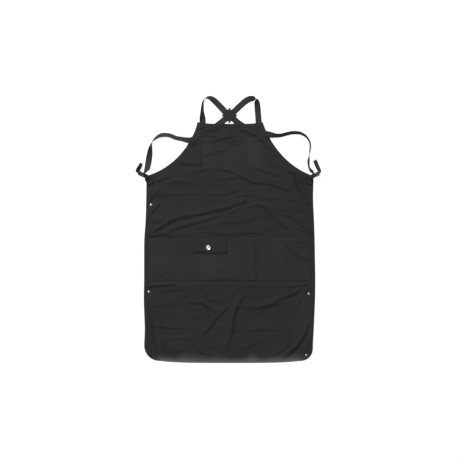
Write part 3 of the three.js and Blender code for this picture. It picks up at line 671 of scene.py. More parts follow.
slider_frames = {name: SliderFrame(*place) for name, place in SLIDER_PLACES.items()}
left_strap_route = route_sections(strap_stations(
    LEFT_TO_CLIP + clip_pass(-CLIP_ANGLE, CLIP_HEIGHTS[0]) + LEFT_TO_SLIDER
    + slider_frames["right"].thread(-1) + LEFT_TAIL))
right_strap_route = route_sections(strap_stations(
    RIGHT_TO_CLIP + clip_pass(CLIP_ANGLE - 180, CLIP_HEIGHTS[1]) + RIGHT_TO_SLIDER
    + slider_frames["left"].thread(1) + RIGHT_TAIL))


def tab_route(slider):
    """Under layer, turn round the slider's first bar, and upper layer of a folded tab."""
    root = np.array([slider.side * TAB_ROOT[0], TAB_ROOT[1], 0.0])
    entry = slider.point(TAB_ENTRY, 0)
    heading = unit((entry - root) * [1, 1, 0])
    layers = []
    for share, lean, spread in TAB_ROWS:
        wide = leaning_width(heading, slider.side, lean)
        out = np.cross(wide, heading) * slider.side
        centre = root + (entry - root) * share
        rise = (spread + WEBBING_THICK / 2) * math.cos(math.radians(lean))
        centre[2] = TAB_SEAT + rise + math.sin(math.radians(lean)) * WEBBING_WIDTH / 2
        layers.append((centre, wide, out * spread))
    for along in (TAB_ENTRY, TAB_MIDDLE):
        layers.append((slider.point(along, 0), slider.wide, slider.out * TAB_SPREAD))
    under = [(centre - out, wide) for centre, wide, out in layers]
    over = [(centre + out, wide) for centre, wide, out in layers]
    turn = []
    for angle in np.radians(TAB_ANGLES):
        along = TAB_MIDDLE + TAB_REACH * math.cos(angle)
        turn.append((slider.point(along, TAB_SPREAD * math.sin(angle)), slider.wide))
    return route_sections(under + turn + over[::-1])


# Body outline
ARM_SAMPLES = 90
SIDE_SAMPLES = 160
CORNER_SAMPLES = 30
BOTTOM_SAMPLES = 140
TOP_SAMPLES = 70
SIDE_SOFTENING = 13
SIDE_KEPT = 4
OUTLINE_STEP = 3.6
REACH_BATCH = 4000
RING_KEEP = 0.97


def bezier(points, shares):
    shares = np.asarray(shares)[:, None]
    rest = 1 - shares
    return (points[0] * rest ** 3 + 3 * points[1] * rest ** 2 * shares
            + 3 * points[2] * rest * shares ** 2 + points[3] * shares ** 3)


def bowed(x, y):
    """Dip of the bib's top edge and bow of the bottom hem."""
    dip = BIB_DIP * (1 - (x / BIB_HALF) ** 4) * smooth(1 - (BIB_TOP - y) / BIB_DIP_REACH)
    bow = SKIRT_BOW * (1 - (x / BOTTOM_HALF) ** 4) * smooth(1 - (y - SKIRT_BOTTOM) / SKIRT_BOW_REACH)
    return y - np.maximum(0, dip) - np.maximum(0, bow)


def half_outline(sign, column, radius, arm_sink):
    """Points of one side from the bib's corner to the bottom edge."""
    shares = np.linspace(0, 1, ARM_SAMPLES)
    arm = bezier(ARMHOLE, shares) * [sign, 1]
    arm[:, 0] += ARM_SHIFT * np.sin(math.pi * shares)
    arm[:, 1] -= arm_sink * np.sin(math.pi * shares ** 2)
    heights = np.linspace(SIDE_ROWS[0, 0], SKIRT_BOTTOM + radius, SIDE_SAMPLES)[1:]
    side = np.interp(-heights, -SIDE_ROWS[:, 0], SIDE_ROWS[:, column])
    even = np.ones(SIDE_SOFTENING) / SIDE_SOFTENING
    softened = np.convolve(np.pad(side, SIDE_SOFTENING // 2, mode="edge"), even, mode="valid")
    softened[:SIDE_KEPT] = side[:SIDE_KEPT]
    angles = np.radians(np.linspace(0, 90, CORNER_SAMPLES)[1:])
    corner_x = softened[-1] + sign * radius * (np.cos(angles) - 1)
    corner_y = SKIRT_BOTTOM + radius * (1 - np.sin(angles))
    x = np.concatenate([arm[:, 0], softened, corner_x])
    y = np.concatenate([arm[:, 1], heights, corner_y])
    return np.stack([x, y], axis=1)


def lengths_along(points):
    """Length of the way from the first point to each point."""
    return np.concatenate([[0], np.cumsum(np.linalg.norm(np.diff(points, axis=0), axis=1))])


def resampled(points, step, closed):
    if closed:
        points = np.concatenate([points, points[:1]])
    reach = lengths_along(points)
    at = np.linspace(0, reach[-1], max(2, round(reach[-1] / step)) + 1)
    if closed:
        at = at[:-1]
    return np.stack([np.interp(at, reach, points[:, axis]) for axis in range(points.shape[1])], axis=1)


def body_outline():
    left = half_outline(*LEFT_SIDE)
    right = half_outline(*RIGHT_SIDE)[::-1]
    bottom = np.linspace(left[-1], right[0], BOTTOM_SAMPLES)[1:-1]
    top = np.linspace(right[-1], left[0], TOP_SAMPLES)[1:-1]
    loop = np.concatenate([left, bottom, right, top])
    loop[:, 1] = bowed(loop[:, 0], loop[:, 1])
    return resampled(loop, OUTLINE_STEP, True)


outline = body_outline()
outline_along = np.arange(len(outline)) * OUTLINE_STEP
outline_inward = -outward(outline)[:, :2]


def outline_reach(x, y):
    """Distance to the outline and the place along it, for flat arrays of points."""
    distances = np.empty(len(x))
    places = np.empty(len(x))
    for start in range(0, len(x), REACH_BATCH):
        part = slice(start, start + REACH_BATCH)
        gap = np.hypot(x[part, None] - outline[None, :, 0], y[part, None] - outline[None, :, 1])
        distances[part] = gap.min(axis=1)
        places[part] = outline_along[gap.argmin(axis=1)]
    return distances, places


def inset_ring(depth):
    """The outline moved inwards, without the points that come too close to another stretch of it."""
    moved = outline + outline_inward * depth
    return moved[outline_reach(*moved.T)[0] > depth * RING_KEEP]


def inside_outline(points):
    """Which points lie inside the outline, by counting crossings to their right."""
    inside = np.zeros(len(points), bool)
    for start, end in zip(outline, np.roll(outline, -1, axis=0)):
        level = (start[1] > points[:, 1]) != (end[1] > points[:, 1])
        if start[1] != end[1]:
            crossing = start[0] + (points[:, 1] - start[1]) * (end[0] - start[0]) / (end[1] - start[1])
            inside ^= level & (points[:, 0] < crossing)
    return inside


# Heights of the cloth
def fold_line(places):
    """Points close together on a smooth line through the places."""
    places = [np.array(place, float) for place in places]
    before = places[0] + FOLD_RUN_ON * unit(places[0] - places[1])
    after = places[-1] + FOLD_RUN_ON * unit(places[-1] - places[-2])
    places = [before] + places + [after]
    line = []
    for index in range(len(places) - 1):
        line += [catmull_rom(places, index, step / FOLD_SAMPLES) for step in range(FOLD_SAMPLES)]
    return np.array(line + [places[-1]])


def folded(rows, x, y):
    """Heights that folds add at an array of points, and how much painted shade darkens the colour there,
    deepest in the creases.
    """
    spots = np.column_stack([np.ravel(x), np.ravel(y)])
    height = np.zeros(len(spots))
    crease = np.zeros(len(spots))
    wander = noise(*spots.T, *FOLD_WANDER)
    for drop, half_width, lit_reach, *places in rows:
        line = fold_line(places)
        margin = FOLD_MARGIN * lit_reach + 2 * half_width
        near = np.all((spots > line.min(axis=0) - margin) & (spots < line.max(axis=0) + margin), axis=1)
        tangent = np.gradient(line, axis=0)
        normal = unit(np.stack([-tangent[:, 1], tangent[:, 0]], axis=1))
        facing = (normal @ LIGHT_SIDE).mean()
        normal = normal * np.sign(facing)
        towards_light = abs(facing)
        gap = spots[near, None, :] - line[None, :, :]
        place = np.hypot(gap[:, :, 0], gap[:, :, 1]).argmin(axis=1)
        towards = np.sum(gap[np.arange(len(place)), place] * normal[place], axis=1) + wander[near]
        share = place / (len(line) - 1)
        taper = smooth(np.minimum(share, 1 - share) / FOLD_END_SHARE)
        half = FOLD_SPREAD * half_width * from_least(FOLD_END_WIDTH, taper)
        fall = smooth((towards + half) / (2 * half))
        past = np.maximum(towards, 0) / lit_reach
        lit = LIT_NEAR * bell(past, 0, LIT_NEAR_REACH) + (1 - LIT_NEAR) * bell(past, 0, 1)
        valley = bell(towards, -VALLEY_PLACE * half, VALLEY_WIDTH * half)
        groove_share = smooth((GROOVE_TURN - towards_light) / GROOVE_BLEND)
        far_side = np.maximum(0, -towards - RIDGE_TOP * half) / lit_reach
        rising = (-towards - RIDGE_FOOT * half) / ((RIDGE_TOP - RIDGE_FOOT) * half)
        far_ridge = smooth(rising) * bell(far_side, 0, 1)
        across = fall * lit - FOLD_VALLEY * valley + groove_share * RIDGE_SHARE * far_ridge
        height[near] += FOLD_GAIN * drop * taper * across
        # Painted shade along the crease, made stronger where the crease runs towards the light and casts
        # little shade of its own
        strength = min(CREASE_SHADE_STRONGEST, drop / CREASE_SHADE_DROP) * (2.0 - towards_light)
        depth = taper * strength * bell(towards, -CREASE_SHADE_PLACE * half, half)
        crease[near] = np.maximum(crease[near], depth)
    return height.reshape(np.shape(x)), np.minimum(crease, CREASE_SHADE_DEEPEST).reshape(np.shape(x))


def flat_share(x, y):
    """How much of the folds is left at flat arrays of points: none where the cloth stays flat."""
    share = np.ones(len(x))
    for left, right, bottom, top, side_fade, end_fade in FLAT_ZONES:
        sideways = np.maximum.reduce([left - x, x - right, np.zeros(len(x))]) / side_fade
        endways = np.maximum.reduce([bottom - y, y - top, np.zeros(len(x))]) / end_fade
        share = np.minimum(share, smooth(np.hypot(sideways, endways)))
    for snap_x, snap_y in SNAP_PLACES.values():
        gap = np.hypot(x - snap_x, y - snap_y) - SNAP_FLAT[0]
        share = np.minimum(share, smooth(gap / SNAP_FLAT[1]))
    reach_x, reach_y = TAB_LEAVES[0] - TAB_ROOT[0], TAB_LEAVES[1] - TAB_ROOT[1]
    from_x, from_y = np.abs(x) - TAB_ROOT[0], y - TAB_ROOT[1]
    along = np.clip((from_x * reach_x + from_y * reach_y) / (reach_x ** 2 + reach_y ** 2), 0, 1)
    tab_gap = np.hypot(from_x - along * reach_x, from_y - along * reach_y) - TAB_FLAT[0]
    return np.minimum(share, smooth(tab_gap / TAB_FLAT[1]))


def sections_behind_bib():
    """Place and top of each strap section that the bib lies on."""
    tops = []
    for middles, wides, _ in (left_strap_route, right_strap_route):
        inside = np.abs(middles[:, 0]) < BIB_REACH[0]
        inside &= middles[:, 1] > BIB_REACH[1]
        inside &= middles[:, 1] < BIB_TOP + STRAP_SHOW[0]
        inside &= np.abs(wides[:, 2]) < BIB_REACH[2]
        top = middles[:, 2] + half_rise(wides[:, 2], 1)
        tops.append(np.column_stack([middles[:, :2], top])[inside])
    return np.concatenate(tops)


behind_bib = sections_behind_bib()


def strap_lift(x, y):
    """Lift of the bib over the straps that run behind it."""
    lift = np.zeros(len(x))
    close = (np.abs(x) < BIB_REACH[0] + BIB_MARGIN) & (y > BIB_REACH[1] - BIB_MARGIN)
    gap = np.hypot(x[close, None] - behind_bib[None, :, 0], y[close, None] - behind_bib[None, :, 1])
    share = 1 - smooth((gap - STRAP_SHOW[0]) / STRAP_SHOW[1])
    lift[close] = (share * (behind_bib[None, :, 2] + STRAP_CLEAR)).max(axis=1)
    return lift


def crumple(x, y):
    """Small soft unevenness of washed canvas: long shallow waves, a few sharper creases and a swell."""
    warped_x = x + noise(x, y, *WARP_ACROSS)
    warped_y = y + noise(x, y, *WARP_ALONG)
    waves = noise(warped_x, warped_y, *LONG_WAVES) + noise(warped_x, warped_y, *SHORT_WAVES)
    swell = noise(x, y, *SWELL)
    crease = np.abs(noise(*turned(warped_x, warped_y, SHARP_TURN), *SHARP_LINES))
    sharp = SHARP_RISE * np.maximum(0, 1 - crease / SHARP_WIDTH) ** 2
    sharp = sharp * smooth(SHARP_MIDDLE + noise(x, y, *SHARP_SHOWS))
    small = noise(x, y, *SMALL_BUMPS) + noise(warped_x, warped_y, *SMALL_WAVES)
    chest_share = from_least(FINE_LEAST, smooth((y - FINE_START) / FINE_FADE))
    return waves + swell + sharp + small + chest_share * noise(warped_x, warped_y, *FINE_WAVES)


def puckered(along, distance, seed, form):
    """Small even waves that stitching pulls into the cloth beside it."""
    length, wander, cell, rise, middle, reach = form
    wave = np.sin(2 * math.pi * along / length + noise(along, 0 * along, wander, cell, 1, seed))
    return rise * wave * bell(distance, middle, reach)


def body_surface(x, y):
    """Underside and top of the body cloth at an array of points."""
    shape = np.shape(x)
    x, y = np.ravel(x), np.ravel(y)
    edge, along = outline_reach(x, y)
    flat = flat_share(x, y)
    hem_share = from_least(HEM_FOLD_SHARE, smooth(edge / HEM_FOLD_REACH))
    folds = folded(BODY_FOLDS, x, y)[0] * flat * hem_share
    crumple_share = from_least(FLAT_CRUMPLE, flat) * smooth(edge / CRUMPLE_REACH)
    rumpled = (crumple(x, y) + CRUMPLE_RISE) * crumple_share
    low = np.maximum(0, strap_lift(x, y) + folds + rumpled)
    hem = HEM_EXTRA * np.clip((HEM_WIDTH + HEM_SLOPE - edge) / HEM_SLOPE, 0, 1)
    hem = hem + puckered(along, edge, HEM_SEED, HEM_PUCKER)
    hem = hem - HEM_GROOVE[0] * bell(edge, HEM_WIDTH - HEM_INSET, HEM_GROOVE[1])
    hem = hem - HEM_ROUND[0] * bell(edge, 0, HEM_ROUND[1])
    return low.reshape(shape), (low + CLOTH + hem).reshape(shape)


def top_of(parts):
    """The function for the height of a piece's top, from the one for its underside and top."""
    return lambda x, y: parts(np.asarray(x, float), np.asarray(y, float))[1]


body_top = top_of(body_surface)


def triangulated(rings, cell):
    """Triangles inside the outline, over rings that follow it and an even field of points."""
    rows = np.arange(SKIRT_BOTTOM - FIELD_BELOW, BIB_TOP + FIELD_ABOVE, cell * ROW_SHARE)
    field_x, field_y = np.meshgrid(np.arange(-FIELD_HALF, FIELD_HALF, cell), rows)
    field_x[1::2] += cell / 2
    field = np.column_stack([field_x.ravel(), field_y.ravel()])
    field = field[inside_outline(field)]
    field = field[outline_reach(*field.T)[0] > rings[-1] + cell * FIELD_GAP]
    flat = np.concatenate([outline] + [inset_ring(depth) for depth in rings] + [field])
    count = len(outline)
    loop_edges = [(place, (place + 1) % count) for place in range(count)]
    result = delaunay_2d_cdt([Vector(point) for point in flat.tolist()], loop_edges, [], 1, MERGE_REACH)
    points = np.array([tuple(point) for point in result[0]])
    return points, np.array([tuple(face) for face in result[2]])


def painted_hem_highlight(x, y, edge):
    """Painted highlight on the bottom hem: paler towards its edge, where the edge catches the light."""
    sides = smooth((BOTTOM_HALF + HIGHLIGHT_OVERHANG - np.abs(x)) / HIGHLIGHT_SIDES)
    at_bottom = (y < SKIRT_BOTTOM + HIGHLIGHT_HEIGHT) * sides
    reach = HIGHLIGHT_REACH * (1 + noise(x, 0 * edge, *HIGHLIGHT_UNEVEN))
    return at_bottom * np.clip(1 - edge / reach, 0, 1) ** HIGHLIGHT_POWER


def body_cloth(material):
    top_flat, top_faces = triangulated(TOP_RINGS, TOP_CELL)
    under_flat, under_faces = triangulated(UNDER_RINGS, UNDER_CELL)
    x, y = top_flat.T
    count = len(outline)
    top = np.column_stack([top_flat, body_surface(x, y)[1]])
    under = np.column_stack([under_flat, body_surface(*under_flat.T)[0]])
    middles = edge_middles(top[:count], under[:count], BODY_BULGE)
    start = len(top)
    faces = top_faces.tolist() + (under_faces[:, ::-1] + start).tolist()
    loop = np.arange(count)
    faces += rim_faces(loop.tolist(), start + len(under), (loop + start).tolist())
    points = np.concatenate([top, under, middles])
    piece = make_piece("body_cloth", points, faces, material, "apron_body")
    edge = outline_reach(x, y)[0]
    below = np.zeros(len(under))
    most, reach = BODY_WEAR
    # Painted shade along the body's creases, stored as the crease attribute
    crease = folded(BODY_FOLDS, x, y)[1] * flat_share(x, y)
    point_values(piece, "crease", crease, below, np.zeros(count))
    point_values(piece, "wear", most * bell(edge, 0, reach) + paler_patches(x, y), below, np.full(count, most))
    # Painted highlight along the bottom hem, stored as a point attribute
    hem_highlight = painted_hem_highlight(x, y, edge)
    point_values(piece, "painted_hem_highlight", hem_highlight, below, hem_highlight[:count])
    return piece


# Pockets: heights are measured from the cloth below
def seam_depth(distance):
    """Two stitched grooves beside a seam."""
    return SEAM_DEPTH * sum(bell(distance, inset, SEAM_WIDTH) for inset in SEAM_INSETS)


def compartment_puff(seams, puffs, x, mouth_share):
    puff = np.zeros_like(x)
    for left, right, height in zip(seams[:-1], seams[1:], puffs):
        share = np.clip((x - left) / (right - left), 0, 1)
        puff += height * np.sin(math.pi * share) ** 2
    return puff * smooth(mouth_share)


def mouth_extra(depth):
    """Extra thickness of the folded hem along a pocket's mouth, with its two stitched grooves."""
    extra = MOUTH_EXTRA * np.clip((MOUTH_HEM + MOUTH_SLOPE - depth) / MOUTH_SLOPE, 0, 1)
    return extra - MOUTH_DEPTH * sum(bell(depth, row, MOUTH_WIDTH) for row in MOUTH_ROWS)


def edge_round(edge):
    return -POCKET_ROUND[0] * bell(edge, 0, POCKET_ROUND[1])


def sewn_relief(x, y, left, right, bottom, top, seams, crumpling):
    """Stitched grooves, mouth hem, crumpling and rounded edge on the top of a pocket."""
    share, shift, reach = crumpling
    sides = np.minimum.reduce([np.abs(x - seam) for seam in seams])
    relief = mouth_extra(top - y) - np.maximum(seam_depth(sides), seam_depth(y - bottom))
    relief = relief + share * crumple(x + shift, y) * smooth(np.minimum(sides, y - bottom) / reach)
    return relief + edge_round(to_edge(x, y, left, right, bottom, top))


def seam_puckers(x, y, bottom, seams, seed):
    sides = np.minimum.reduce([np.abs(x - seam) for seam in seams])
    return puckered(y, sides, seed, SEAM_PUCKER) + puckered(x, y - bottom, seed + 1, SEAM_PUCKER)


def panel_parts(x, y):
    left, right, bottom, top = PANEL_BOX
    puff = compartment_puff(PANEL_SEAMS, PANEL_PUFFS, x, (y - bottom) / (top - bottom))
    puff = puff + folded(PANEL_FOLDS, x, y)[0] * smooth(to_edge(x, y, left, right, bottom) / FOLD_INSET)
    low = body_top(x, y) + LAYER_GAP + np.maximum(0, puff)
    relief = seam_puckers(x, y, bottom, PANEL_SEAMS, PANEL_SEED)
    relief = relief + sewn_relief(x, y, *PANEL_BOX, PANEL_SEAMS, PANEL_CRUMPLE)
    return low, low + CLOTH + relief


panel_top = top_of(panel_parts)


def patch_parts(x, y):
    bottom, top = PATCH_BOX[2:]
    puff = compartment_puff(PATCH_SEAMS, PATCH_PUFFS, x, (y - bottom) / (top - bottom))
    low = panel_top(x, y) + LAYER_GAP + np.maximum(0, puff + folded(PATCH_FOLDS, x, y)[0])
    relief = seam_puckers(x, y, bottom, PATCH_SEAMS, PATCH_SEED)
    relief = relief + sewn_relief(x, y, *PATCH_BOX, PATCH_SEAMS, PATCH_CRUMPLE)
    return low, low + CLOTH + relief


patch_top = top_of(patch_parts)


def flap_parts(x, y):
    left, right, bottom, top = FLAP_BOX
    patch_edge = PATCH_BOX[3]
    on_panel = panel_top(x, y)
    on_patch = patch_top(x, np.minimum(y, patch_edge))
    patch_share = smooth((patch_edge + FLAP_STEP - y) / FLAP_STEP)
    base = on_panel * (1 - patch_share) + on_patch * patch_share
    base = np.where(y < patch_edge + FLAP_CLEAR, np.maximum(base, on_patch), base)
    hang = smooth((top - y) / (top - bottom))
    lift = FLAP_LIFT * hang * (0.5 + noise(x, y, *FLAP_WAVE)) + FLAP_STAND * hang
    low = base + LAYER_GAP + np.maximum(0, lift + folded(FLAP_FOLDS, x, y)[0])
    edge = to_edge(x, y, left, right, bottom)
    share, shift, reach = FLAP_CRUMPLE
    relief = -seam_depth(edge) - FLAP_GROOVE * bell(top - y, FLAP_ROW, SEAM_WIDTH)
    relief = relief + share * crumple(x + shift, y) * smooth(edge / reach)
    return low, low + CLOTH + FLAP_EXTRA + relief + edge_round(np.minimum(edge, top - y))


flap_top = top_of(flap_parts)


def chest_mouth(pocket, x):
    """How near the middle of a chest pocket, and the height of its mouth there."""
    share = np.clip((x - pocket.left) / (pocket.right - pocket.left), 0, 1)
    middle = np.sin(math.pi * share) ** 2
    return middle, pocket.top - pocket.sag * middle


def chest_parts(pocket, x, y):
    left, right, bottom = pocket.left, pocket.right, pocket.bottom
    middle, mouth = chest_mouth(pocket, x)
    puff = pocket.puff * middle * smooth((y - bottom) / (mouth - bottom))
    puff = puff + folded(CHEST_FOLDS, x, y)[0] * smooth(to_edge(x, y, left, right, bottom) / FOLD_INSET)
    low = body_top(x, y) + LAYER_GAP + np.maximum(0, puff)
    return low, low + CLOTH + sewn_relief(x, y, left, right, bottom, mouth, (left, right), CHEST_CRUMPLE)


def box_grid(box, column_seams, row_seams, coarse):
    left, right, bottom, top = box
    columns = spaced(column_seams, left, right, FINE_REACH, FINE_STEP, coarse)
    return np.meshgrid(columns, spaced(row_seams, bottom, top, FINE_REACH, FINE_STEP, coarse))


def pocket_grid(box, seams):
    return box_grid(box, seams, (box[2], box[3] - MOUTH_HEM / 2), POCKET_STEP)


def chest_grid(pocket):
    sides = (pocket.left, pocket.right)
    columns = spaced(sides, *sides, FINE_REACH, FINE_STEP, CHEST_STEP)
    x, share = np.meshgrid(columns, spaced((0, 1), 0, 1, *CHEST_ROW_SHARES))
    return x, pocket.bottom + (chest_mouth(pocket, x)[1] - pocket.bottom) * share


# Webbing bands: places round the section, as shares of half the width and half the thickness
BAND_EDGE = [(0.985, 0.6), (0.94, 0.95), (0.8, 1.0), (0.4, 1.0)]


def band_section():
    """The places of one rounded corner, turned into the four corners and two sides of the section."""
    quarter = [(1.0, 0.0)] + BAND_EDGE + [(0.0, 1.0)]
    upper = quarter + [(-across, through) for across, through in quarter[-2::-1]]
    return np.array(upper + [(across, -through) for across, through in upper[-2:0:-1]])


def band(name, route, material):
    """Webbing that stands for a node, with the place across and along it as its flat coordinates."""
    middles, wides, thicks = route
    section = band_section()
    across = section[:, 0] * (WEBBING_WIDTH / 2 + WEBBING_NAP)
    through = section[:, 1] * WEBBING_THICK / 2
    points = middles[:, None, :] + wides[:, None, :] * across[None, :, None]
    points = points + thicks[:, None, :] * through[None, :, None]
    sections, sides = points.shape[:2]
    index = np.arange(sections * sides).reshape(sections, sides)
    after = np.roll(index, -1, axis=1)
    faces = np.stack([index[:-1], after[:-1], after[1:], index[1:]], axis=2).reshape(-1, 4).tolist()
    faces.append(index[0, ::-1].tolist())
    faces.append(index[-1].tolist())
    piece = make_piece(name + "_webbing", points.reshape(-1, 3), faces, material, name)
    along = lengths_along(middles)
    flat = np.column_stack([np.tile(across, sections), np.repeat(along, sides)]) * MILLIMETRE
    corners = np.zeros(len(piece.data.loops), int)
    piece.data.loops.foreach_get("vertex_index", corners)
    piece.data.uv_layers.new(name="weave").data.foreach_set("uv", flat[corners].ravel())


# Stitching: pitch and length of a row's stitches
STITCH_ROW = (4.2, 3.1)
TACK_ROW = (2.7, 2.6)
BOX_ROW = (3.4, 2.6)
STITCH_RADIUS = 0.28
STITCH_SHARES = np.array([-0.5, -0.3, 0.0, 0.3, 0.5])
STITCH_RISES = np.array([-0.25, 0.12, 0.24, 0.12, -0.25])
STITCH_SIDES = 6
# Bar tacks, and how far the rows end from the edges of their pieces
TACK_HALF = 4.0
TACK_OFFSETS = (-0.9, 0.0, 0.9)
TACK_INSET = 6.0
TACK_DEPTH = 3.5
MOUTH_ROW_INSET = 10.0
CHEST_ROW_INSET = 9.0
CHEST_ROW_PLACES = 24
FLAP_ROW_INSET = 2.0
MIDDLE_SEAM_ENDS = (1.0, 1.5)


class Stitching:
    """Rows of raised stitches that follow the surfaces they are sewn through."""

    def __init__(self):
        self.points = []
        self.faces = []
        self.count = 0

    def row(self, path, surface, form=STITCH_ROW):
        pitch, length = form
        path = np.asarray(path, float)
        span = lengths_along(path)[-1]
        line = resampled(path, span / max(1, round(span / pitch)), False)
        middles = (line[:-1] + line[1:]) / 2
        along = unit(np.diff(line, axis=0))
        spots = middles[:, None, :] + along[:, None, :] * (STITCH_SHARES * length)[None, :, None]
        heights = surface(spots[:, :, 0], spots[:, :, 1]) + STITCH_RISES[None, :]
        spine = np.concatenate([spots, heights[:, :, None]], axis=2)
        side = np.stack([-along[:, 1], along[:, 0], np.zeros(len(along))], axis=1)
        self.add(spine, side)

    def add(self, spine, side):
        """Short round threads along each spine, with their side directions."""
        angles = np.arange(STITCH_SIDES) * 2 * math.pi / STITCH_SIDES
        ring = side[:, None, None, :] * np.cos(angles)[None, None, :, None]
        ring = ring + np.array([0.0, 0.0, 1.0]) * np.sin(angles)[None, None, :, None]
        points = spine[:, :, None, :] + ring * STITCH_RADIUS
        index = np.arange(points.size // 3).reshape(points.shape[:3]) + self.count
        after = np.roll(index, -1, axis=2)
        faces = np.stack([index[:, :-1], after[:, :-1], after[:, 1:], index[:, 1:]], axis=3)
        self.points.append(points.reshape(-1, 3))
        self.faces += faces.reshape(-1, 4).tolist()
        self.count += points.size // 3

    def piece(self, name, material):
        make_piece(name, np.concatenate(self.points), self.faces, material)


def u_seam(box, inset, from_top=1):
    left, right, bottom, top = box
    return [(left + inset, top - from_top), (left + inset, bottom + inset), (right - inset, bottom + inset),
            (right - inset, top - from_top)]


def bar_tack(stitching, x, y, surface):
    """Close short bar that secures a pocket's mouth."""
    for offset in TACK_OFFSETS:
        stitching.row([(x - TACK_HALF, y + offset), (x + TACK_HALF, y + offset)], surface, TACK_ROW)


def box_stitch(stitching, x, y, side, surface):
    """Square of stitches with a cross in it, as webbing is sewn down."""
    half = side / 2
    corners = [(x - half, y + half), (x + half, y + half), (x + half, y - half), (x - half, y - half)]
    for start, end in ((0, 1), (1, 2), (2, 3), (3, 0), (0, 2), (1, 3)):
        stitching.row([corners[start], corners[end]], surface, BOX_ROW)


# Round fasteners: radius and height along the profile, from the middle of the top
BUTTON_PROFILE = [
    (0.0, 2.25), (0.9, 2.25), (1.5, 2.05), (2.2, 1.95), (4.6, 1.95), (5.4, 2.05), (6.0, 2.5), (6.6, 2.9),
    (7.3, 3.1), (8.0, 3.0), (8.6, 2.65), (8.95, 2.1), (9.0, 1.5), (8.9, 0.9), (8.5, 0.4), (7.8, 0.0),
    (0.0, 0.0),
]
SNAP_PROFILE = [
    (0.0, 2.2), (0.9, 2.16), (1.8, 2.02), (2.6, 1.75), (3.2, 1.4), (3.5, 1.1), (3.7, 0.95), (4.2, 0.95),
    (4.7, 0.85), (4.95, 0.6), (5.0, 0.3), (4.9, 0.0), (0.0, 0.0),
]
ROUND_SIDES = 72
BUTTON_DIMPLES = 0.7
DIMPLE_RING = (3.2, 0.9)
DIMPLE_COUNT = 4
BUTTON_SEAT = 0.1
SNAP_SEAT = 0.05


def round_piece(name, profile, place, material, dimples=0.0):
    """A turned fastener that stands for a node; dimples is the depth of the hollows in its top."""
    x, y, z = place
    angles = np.arange(ROUND_SIDES) * 2 * math.pi / ROUND_SIDES
    hollow = np.maximum(0, np.cos(DIMPLE_COUNT * angles)) ** 2
    rings = []
    for radius, height in profile[1:-1]:
        drop = dimples * bell(radius, *DIMPLE_RING) * hollow
        ring = [x + radius * np.cos(angles), y + radius * np.sin(angles), z + height - drop]
        rings.append(np.column_stack(ring))
    points = np.concatenate([[(x, y, z + profile[0][1])], *rings, [(x, y, z + profile[-1][1])]])
    last = len(points) - 1
    faces = []
    for side in range(ROUND_SIDES):
        after = (side + 1) % ROUND_SIDES
        faces.append((0, 1 + side, 1 + after))
        for start in range(1, last - ROUND_SIDES, ROUND_SIDES):
            below = start + ROUND_SIDES
            faces.append((start + side, below + side, below + after, start + after))
        faces.append((last - ROUND_SIDES + side, last, last - ROUND_SIDES + after))
    make_piece(name + "_metal", points, faces, material, name)


# Materials: greys are places on a noise and the grey there
BLUE_CAST = 1.01
DYED = ((0.25, 0.0155), (0.55, 0.018), (0.8, 0.0205))
SPUN = ((0.3, 0.014), (0.7, 0.0225))
# Painted shade: the darker greys that the creases are painted with
PAINTED_CREASE_SHADE = ((0.3, 0.0085), (0.7, 0.0125))
WORN = ((0.2, 0.03), (0.8, 0.052))
# Painted highlight: the paler greys of the bottom hem's rim
HEM_HIGHLIGHT_GREYS = ((0.2, 0.09), (0.8, 0.13))
LINT = ((0.3, 0.06), (0.7, 0.11))
LINT_SPECKS = ((0.0, 1.0), (0.045, 0.0))
WEBBING_DARK = ((0.3, 0.010), (0.7, 0.015))
WEBBING_LIGHT = ((0.3, 0.028), (0.7, 0.040))
WEBBING_EDGE = ((0.3, 0.006), (0.7, 0.010))
# Weaves, in metres
THREAD_PITCH = 0.0009
TWIST_PITCH = 0.0007
STRIPE_WIDTH = 0.0055
STRIPE_LEAN = 0.9
RIB_PITCH = 0.0021
YARN_PITCH = 0.0016
EDGE_DARKENING = {"From Min": 0.0072, "From Max": 0.0105}


